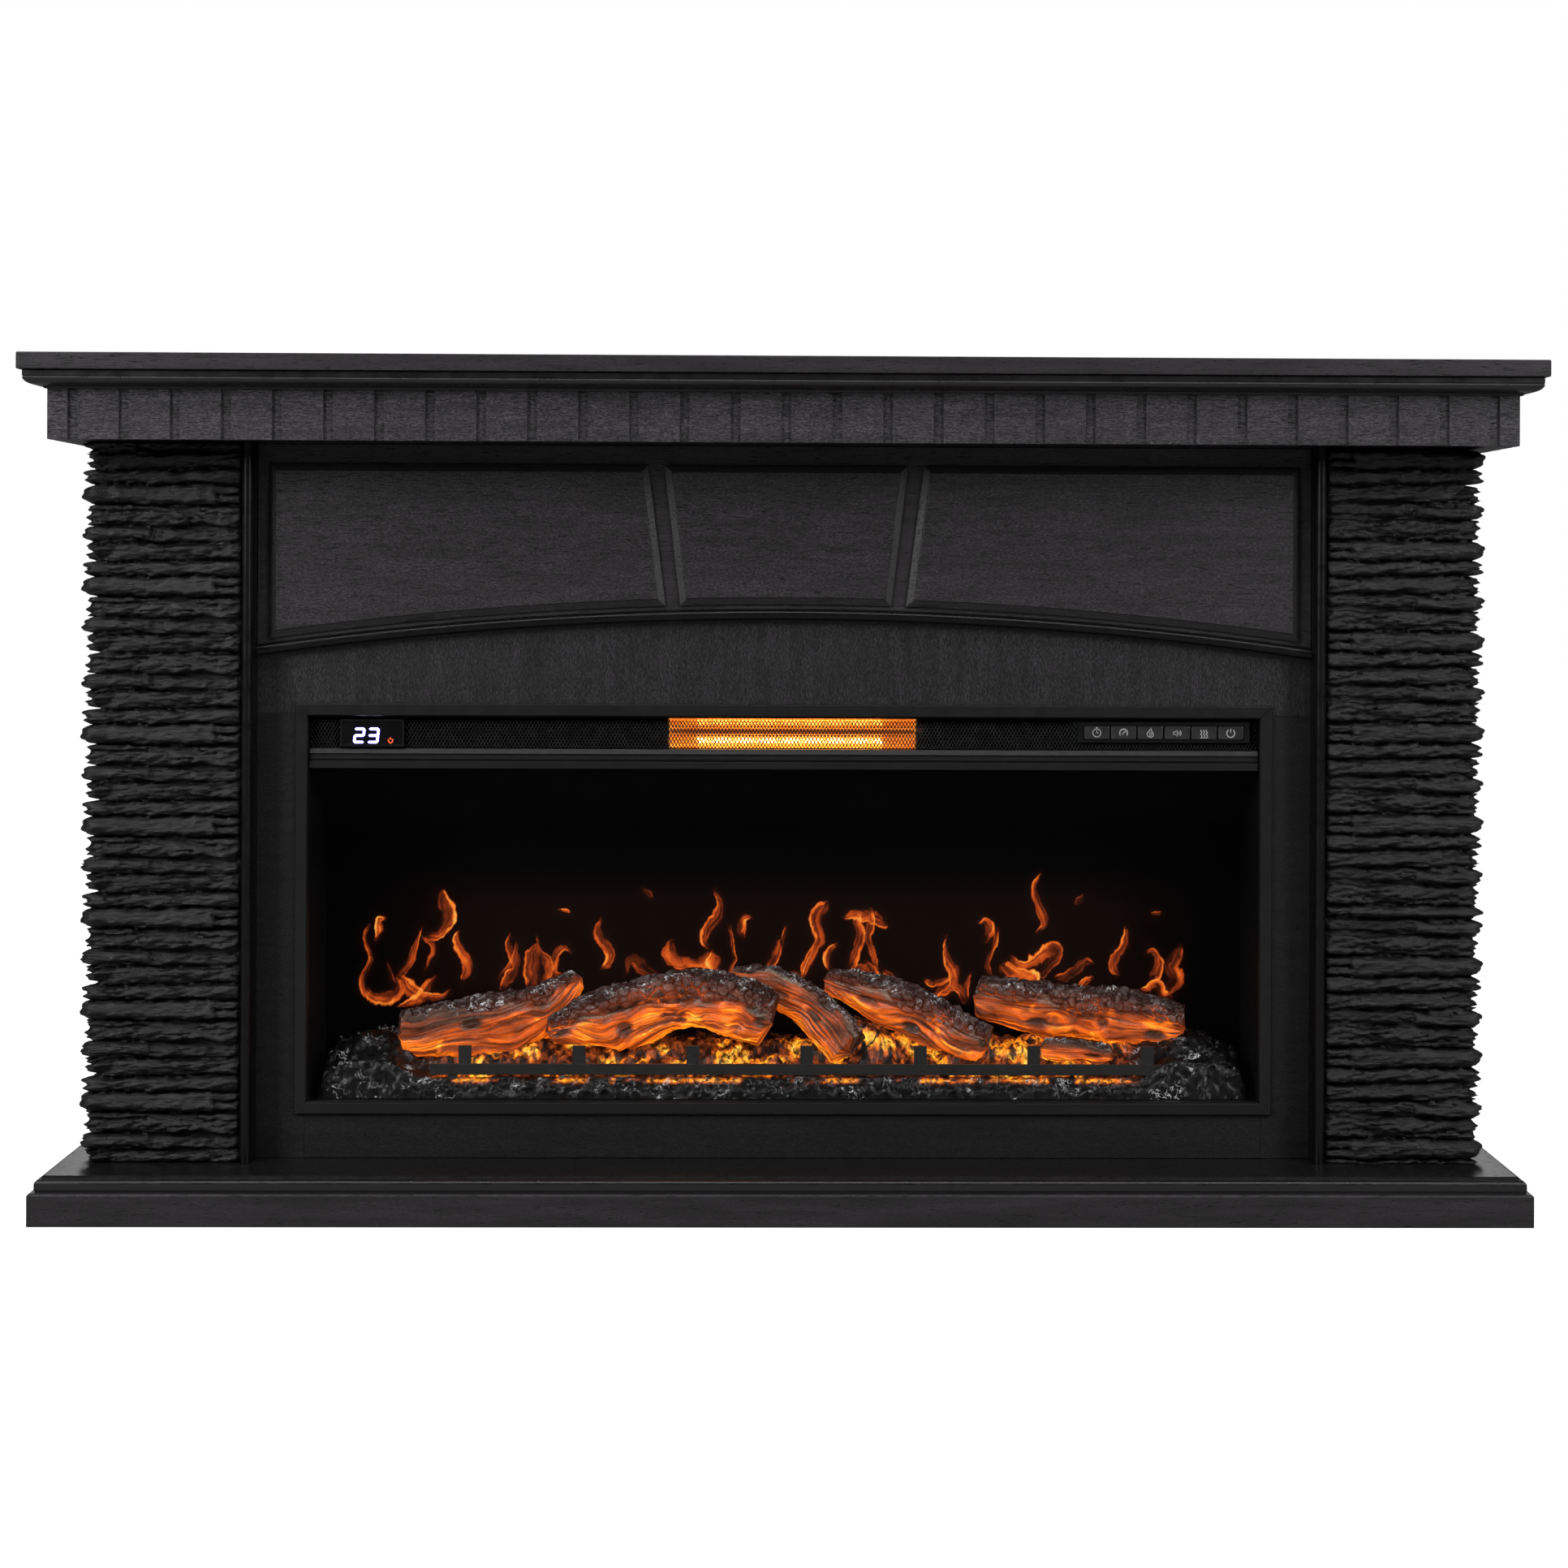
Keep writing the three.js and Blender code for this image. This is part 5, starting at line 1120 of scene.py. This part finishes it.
# Each flame is a tongue along a line of [x, z, half width], with its brightness and how hollow it is.
# Lines are in steps of a third of a millimetre from the corner of the left or the right half of the screen.
FLAME_STEP, LINE_POINTS = 0.3426, 110
HALVES = {"left": (-541.0, 369.6), "right": (-3.7, 369.6)}
FLAMES = {
    "left": [
        ([(255, 208, 3), (232, 214, 9), (232, 245, 11), (224, 278, 5)], 0.95, 0.3),
        ([(196, 232, 5), (182, 260, 4), (190, 300, 6), (205, 345, 7), (184, 392, 9), (176, 420, 9), (186, 452, 9),
          (215, 480, 9)], 0.62, 0.7),
        ([(186, 445, 8), (210, 470, 14), (250, 478, 20), (288, 462, 20), (300, 430, 10), (286, 405, 3)], 0.8, 0.6),
        ([(376, 238, 2), (362, 268, 5), (352, 310, 9), (338, 350, 11), (318, 378, 10), (300, 410, 12)], 0.66, 0.55),
        ([(290, 505, 5), (320, 498, 12), (355, 480, 16), (385, 440, 16), (420, 402, 5)], 0.84, 0.45),
        ([(300, 400, 6), (325, 425, 22), (350, 450, 24), (390, 470, 14), (440, 462, 8), (468, 445, 2)], 0.78, 0.5),
        ([(262, 350, 2), (268, 385, 6), (280, 430, 8)], 0.3, 0.3),
        ([(436, 118, 3), (442, 145, 16), (462, 180, 21), (458, 222, 17), (430, 262, 13), (398, 270, 9)], 0.74, 0.35),
        ([(380, 266, 3), (400, 282, 10), (412, 312, 7), (402, 345, 5), (384, 382, 2)], 0.8, 0.7),
        ([(497, 250, 3), (487, 272, 9), (506, 320, 15), (528, 365, 15), (520, 398, 11), (510, 414, 3)], 0.8, 0.7),
        ([(668, 262, 3), (660, 296, 8), (678, 330, 16), (690, 372, 10), (672, 392, 18), (650, 420, 16),
          (640, 436, 8)], 0.66, 0.6),
        ([(690, 290, 3), (688, 330, 8), (672, 360, 12), (640, 400, 12)], 0.5, 0.5),
        ([(752, 262, 2), (757, 292, 5), (744, 330, 22), (742, 375, 24), (735, 412, 20), (730, 430, 6)], 0.6, 0.35),
        ([(870, 318, 3), (850, 298, 8), (828, 318, 10), (812, 350, 16), (800, 380, 20), (820, 400, 14),
          (845, 388, 4)], 0.72, 0.45),
        ([(760, 300, 4), (785, 345, 14), (800, 385, 12), (770, 410, 8)], 0.5, 0.5),
        ([(832, 176, 4), (850, 178, 5), (864, 190, 3)], 0.62, 0.2),
        ([(1112, 112, 7), (1126, 124, 11), (1142, 142, 3)], 0.3, 0.1),
        ([(970, 206, 3), (958, 240, 10), (976, 290, 15), (1000, 325, 15), (990, 360, 11), (975, 374, 4)], 0.78, 0.72),
        ([(1050, 392, 4), (1070, 345, 14), (1105, 365, 20), (1140, 390, 14), (1180, 400, 5)], 0.42, 0.3),
        ([(1205, 285, 8), (1196, 318, 22), (1212, 348, 24), (1250, 350, 18), (1292, 352, 14), (1330, 345, 24),
          (1352, 375, 20)], 0.7, 0.4),
        ([(1340, 316, 3), (1340, 350, 16), (1345, 385, 14), (1380, 420, 14), (1406, 456, 5)], 0.66, 0.4),
        ([(1346, 110, 2), (1364, 150, 9), (1352, 200, 13), (1318, 245, 15), (1310, 275, 12),
          (1326, 300, 6)], 0.8, 0.75),
        ([(1470, 203, 3), (1444, 208, 10), (1436, 238, 13), (1446, 262, 6)], 0.85, 0.3),
        ([(1400, 232, 5), (1408, 290, 5), (1416, 340, 5), (1400, 380, 7), (1384, 410, 4)], 0.6, 0.6),
        ([(1565, 268, 3), (1556, 310, 10), (1540, 345, 14), (1520, 372, 10)], 0.7, 0.6),
    ],
    "right": [
        ([(14, 232, 3), (2, 280, 6), (-4, 330, 5)], 0.6, 0.6),
        ([(152, 150, 4), (136, 175, 18), (118, 205, 20), (122, 245, 16), (126, 280, 16), (102, 330, 14),
          (78, 380, 12), (72, 402, 4)], 0.86, 0.72),
        ([(186, 290, 4), (160, 312, 12), (152, 345, 8), (165, 375, 4)], 0.85, 0.6),
        ([(112, 300, 5), (92, 350, 6), (70, 400, 5)], 0.8, 0.5),
        ([(210, 200, 4), (238, 190, 14), (275, 195, 18), (318, 205, 18), (340, 222, 14), (352, 224, 5)], 0.72, 0.35),
        ([(262, 180, 3), (252, 218, 13), (262, 262, 17), (248, 320, 14), (232, 370, 10)], 0.68, 0.6),
        ([(300, 175, 6), (296, 225, 14), (292, 285, 10), (310, 340, 10), (318, 372, 6)], 0.7, 0.6),
        ([(280, 350, 8), (300, 385, 22), (325, 410, 18), (345, 425, 8)], 0.6, 0.5),
        ([(232, 378, 5), (262, 370, 14), (300, 395, 10)], 0.5, 0.4),
        ([(345, 380, 6), (372, 400, 12), (392, 436, 6)], 0.45, 0.5),
        ([(20, 396, 5), (45, 385, 8), (66, 402, 3)], 0.45, 0.4),
        ([(546, 262, 2), (546, 305, 6), (556, 350, 14), (578, 380, 15), (572, 420, 13), (552, 462, 6)], 0.82, 0.5),
        ([(482, 408, 3), (505, 420, 10), (540, 412, 10), (566, 395, 6)], 0.8, 0.4),
        ([(515, 466, 4), (540, 445, 16), (575, 430, 16), (600, 445, 12), (612, 480, 8)], 0.84, 0.45),
        ([(628, 390, 3), (614, 430, 8), (618, 470, 4)], 0.5, 0.4),
        ([(656, 222, 3), (682, 214, 8), (694, 240, 15), (682, 272, 9)], 0.86, 0.3),
        ([(716, 240, 6), (712, 290, 6), (696, 330, 7), (688, 360, 7), (700, 395, 5)], 0.62, 0.6),
        ([(740, 360, 8), (756, 378, 24), (790, 395, 28), (830, 400, 24), (838, 425, 10)], 0.86, 0.3),
        ([(768, 326, 3), (785, 355, 14), (820, 358, 16), (868, 330, 24), (905, 305, 22), (925, 310, 12),
          (912, 345, 14), (870, 385, 12)], 0.72, 0.4),
        ([(862, 55, 2), (842, 90, 8), (848, 140, 11), (872, 195, 14), (872, 225, 10), (852, 248, 4)], 0.8, 0.75),
        ([(1006, 125, 3), (994, 142, 10), (980, 158, 4)], 0.3, 0.1),
        ([(1036, 355, 4), (1010, 350, 14), (985, 375, 18), (940, 398, 14), (915, 402, 4)], 0.42, 0.35),
        ([(1036, 402, 3), (1015, 415, 12), (1000, 430, 12), (985, 438, 4)], 0.78, 0.3),
        ([(1148, 232, 3), (1152, 262, 9), (1132, 305, 13), (1108, 345, 14), (1112, 375, 10),
          (1126, 392, 3)], 0.8, 0.75),
        ([(1236, 190, 4), (1254, 186, 6), (1270, 182, 3)], 0.62, 0.2),
        ([(1220, 318, 4), (1240, 312, 9), (1262, 345, 12), (1252, 385, 18), (1240, 400, 10)], 0.68, 0.5),
        ([(1334, 290, 3), (1318, 330, 18), (1300, 365, 22), (1320, 400, 24), (1300, 430, 20),
          (1282, 455, 10)], 0.55, 0.45),
        ([(1202, 436, 4), (1225, 440, 12), (1255, 420, 14), (1275, 450, 14), (1300, 462, 8)], 0.78, 0.5),
    ],
}


def flame_field(x, z, half):
    """Brightness of the projected flames at points of the screen."""
    x0, z0 = HALVES[half]
    field = np.zeros(x.shape)
    for number, (line, bright, hollow) in enumerate(FLAMES[half]):
        seed = 500 + number * 7 + (half == "right") * 300
        points = catmull(
            [(x0 + a * FLAME_STEP, z0 - b * FLAME_STEP, r * FLAME_STEP) for a, b, r in line],
            np.linspace(0, 1, LINE_POINTS),
        )
        low, high = points.min(0) - 9, points.max(0) + 9
        near = (x > low[0]) & (x < high[0]) & (z > low[1]) & (z < high[1])
        px = x[near] + 2.3 * fbm(x[near] / 14, z[near] / 14, seed, 4)
        pz = z[near] + 2.3 * fbm(x[near] / 14, z[near] / 14, seed + 3, 4)
        best = np.full(px.shape, 99.0)
        where, width, side = np.zeros(px.shape), np.ones(px.shape), np.zeros(px.shape)
        ahead = np.gradient(points, axis=0)
        for k, (cx, cz, r) in enumerate(points):
            r = max(r, 0.5) * 1.1
            d = np.hypot(px - cx, pz - cz) / r
            closer = d < best
            best = np.where(closer, d, best)
            where = np.where(closer, k / (len(points) - 1), where)
            width = np.where(closer, r, width)
            side = np.where(closer, np.sign((px - cx) * ahead[k, 1] - (pz - cz) * ahead[k, 0]), side)
        across = best * side + 0.3 * fbm(px / 5.0, pz / 9.0, seed + 8, 3)
        across = across * (1 if math.sin(seed * 1.7) > 0 else -1)
        sheet = smooth(-1.15, -0.55, across) * smooth(1.12, 0.9, across)
        strands = noise(where * 3.0 + 5, across * 3.2 + 2 * where, seed + 5)
        veils = 0.5 + 0.5 * fbm(px / 11, pz / 17, seed + 6, 3)
        soft = 0.55 / width
        fold = np.exp(-(((across - 0.84) / (0.12 + soft)) ** 2))
        back = np.exp(-(((across + 0.72) / (0.11 + soft)) ** 2))
        body = (0.44 + 0.42 * smooth(-0.6, 0.9, across)) * (0.6 + 0.7 * smooth(-0.4, 0.5, strands))
        level = sheet * body * (1 - 0.4 * hollow) * (0.5 + 0.85 * veils)
        level = level + fold * (0.2 + 0.2 * hollow) * (0.25 + 0.8 * veils)
        level = level + back * (0.03 + 0.16 * hollow) * (0.2 + 0.8 * veils)
        taper = smooth(0, 0.1, where) * smooth(1.0, 0.8, where) * 0.7 + 0.3
        halo = 0.07 * np.exp(-np.maximum(best - 1, 0) * width / 3.0)
        value = (level * taper + halo * (best > 0.8)) * bright * 1.2
        field[near] = np.maximum(field[near], value) + 0.4 * np.minimum(field[near], value)
    return field


def flame_colour(v):
    return graded(v, [
        (0, 0, 0, 0), (0.12, 0.018, 0.003, 0.001), (0.3, 0.16, 0.022, 0.005), (0.5, 0.48, 0.062, 0.009),
        (0.72, 0.84, 0.14, 0.014), (0.95, 1.0, 0.27, 0.03), (1.3, 1.0, 0.5, 0.09),
    ])


projection = Finish("projected_flames", (0.0006, 0.0005, 0.0005), 0.6, Emission_Strength=1.0, Specular_IOR_Level=0.06)
projection.feed(projection.attribute("glow", "Color"), "Emission Color")
projection.gloss(projection.noise(30, 3), 0.42, 0.6)

screen_y = box_mm("flame_screen")[0][1]
SHEETS = {
    "far_left": (-490, -250, "left"), "left": (-250, -3, "left"), "right": (-3, 235, "right"),
    "far_right": (235, 478, "right"),
}
SHEET_FOOT, SHEET_TOP, SHEET_STEP = 196, 368, 0.82
HAZE = np.array([0.1, 0.035, 0.018])
for name, (x0, x1, half) in SHEETS.items():
    xs, zs = (np.linspace(a, b, int((b - a) / SHEET_STEP) + 1) for a, b in ((x0, x1), (SHEET_FOOT, SHEET_TOP)))
    gx, gz = np.meshgrid(xs, zs, indexing="ij")
    haze = 0.05 * smooth(500, 330, np.abs(gx)) * smooth(SHEET_TOP, 300, gz) * smooth(SHEET_FOOT, 215, gz)
    fade = smooth(SHEET_FOOT, 204, gz) * smooth(SHEET_TOP, 362, gz)
    colour = (flame_colour(np.maximum(flame_field(gx, gz, half), 0)) + haze[..., None] * HAZE) * fade[..., None]
    face = np.stack([gx, 0 * gx + screen_y - 0.3, gz], -1).reshape(-1, 3)
    number = np.arange(gx.size).reshape(gx.shape)
    loop = np.concatenate([number[0], number[1:, -1], number[-1, -2::-1], number[-2:0:-1, 0]])
    rim = face[loop]
    rim[:, 1] = screen_y - 0.05
    behind = gx.size + np.arange(len(loop))
    sides = np.stack([loop, np.roll(loop, -1), np.roll(behind, -1), behind], 1)
    skin = [*grid_faces(*gx.shape).tolist(), *sides.tolist(), behind.tolist()]
    glow = np.concatenate([colour.reshape(-1, 3), np.zeros((len(loop), 3))])
    piece(
        f"flames_{name}", np.concatenate([face, rim]), skin, projection.material, "screen_frosted", sharp=80,
        attributes={"glow": glow},
    )

# ---------------------------------------------------------------- camera, floor and light

camera_data = bpy.data.cameras.new("camera")
camera_data.lens = 78.1
camera_data.sensor_width = 36
camera_data.shift_x = -0.0417
camera_data.shift_y = -0.129
camera = bpy.data.objects.new("camera", camera_data)
camera.location = (0.0, -3.795, 0.684)
aim = Euler((math.radians(90), 0, math.radians(-1.07))).to_matrix() @ Matrix.Rotation(math.radians(0.24), 3, "Z")
camera.rotation_euler = aim.to_euler()
bpy.context.scene.collection.objects.link(camera)
bpy.context.scene.camera = camera
bpy.context.scene.view_settings.view_transform = "Standard"


def backdrop_strength(tree, socket, seen, unseen):
    """Links a strength that makes the backdrop bright to the camera and dim in reflections."""
    path = tree.nodes.new("ShaderNodeLightPath")
    shade = tree.nodes.new("ShaderNodeMapRange")
    shade.inputs["To Min"].default_value = unseen
    shade.inputs["To Max"].default_value = seen
    tree.links.new(path.outputs["Is Camera Ray"], shade.inputs["Value"])
    tree.links.new(shade.outputs["Result"], socket)


floor_paint = Finish("floor_white", (0.3, 0.3, 0.3), 0.9, Emission_Color=(1, 1, 1, 1))
backdrop_strength(floor_paint.tree, floor_paint.shader.inputs["Emission Strength"], 1.0, 0.02)
floor_mesh = bpy.data.meshes.new("floor")
HALF_FLOOR = 14.0
floor_mesh.from_pydata([(sx * HALF_FLOOR, sy * HALF_FLOOR, -0.0004) for sx, sy in CORNERS], [], [(0, 1, 2, 3)])
floor_mesh.materials.append(floor_paint.material)
floor = bpy.data.objects.new("floor", floor_mesh)
bpy.context.scene.collection.objects.link(floor)

world = bpy.data.worlds.new("studio")
bpy.context.scene.world = world
world.use_nodes = True
backdrop_strength(world.node_tree, world.node_tree.nodes["Background"].inputs["Strength"], 1.0, 0.035)
world.node_tree.nodes["Background"].inputs["Color"].default_value = (1, 1, 1, 1)


def softbox(name, place, target, size, power):
    data = bpy.data.lights.new(name, "AREA")
    data.shape = "RECTANGLE"
    data.size, data.size_y = size
    data.energy = power
    lamp = bpy.data.objects.new(name, data)
    lamp.location = place
    lamp.rotation_euler = (Vector(target) - Vector(place)).to_track_quat("-Z", "Y").to_euler()
    bpy.context.scene.collection.objects.link(lamp)


softbox("left_softbox", (-2.5, -2.0, 1.9), (-0.6, 0, 0.75), (1.0, 1.3), 84)
softbox("right_softbox", (2.5, -2.1, 1.9), (0.6, 0, 0.75), (1.0, 1.3), 68)
softbox("overhead_softbox", (0, -1.3, 2.6), (0, -0.15, 0.4), (2.8, 0.4), 28)
softbox("back_softbox", (0, 3.4, 1.9), (0, 0.2, 0.5), (3.2, 1.8), 55)
softbox("low_softbox", (0, -4.6, 0.25), (0, 0, 0.25), (4.0, 0.3), 3)
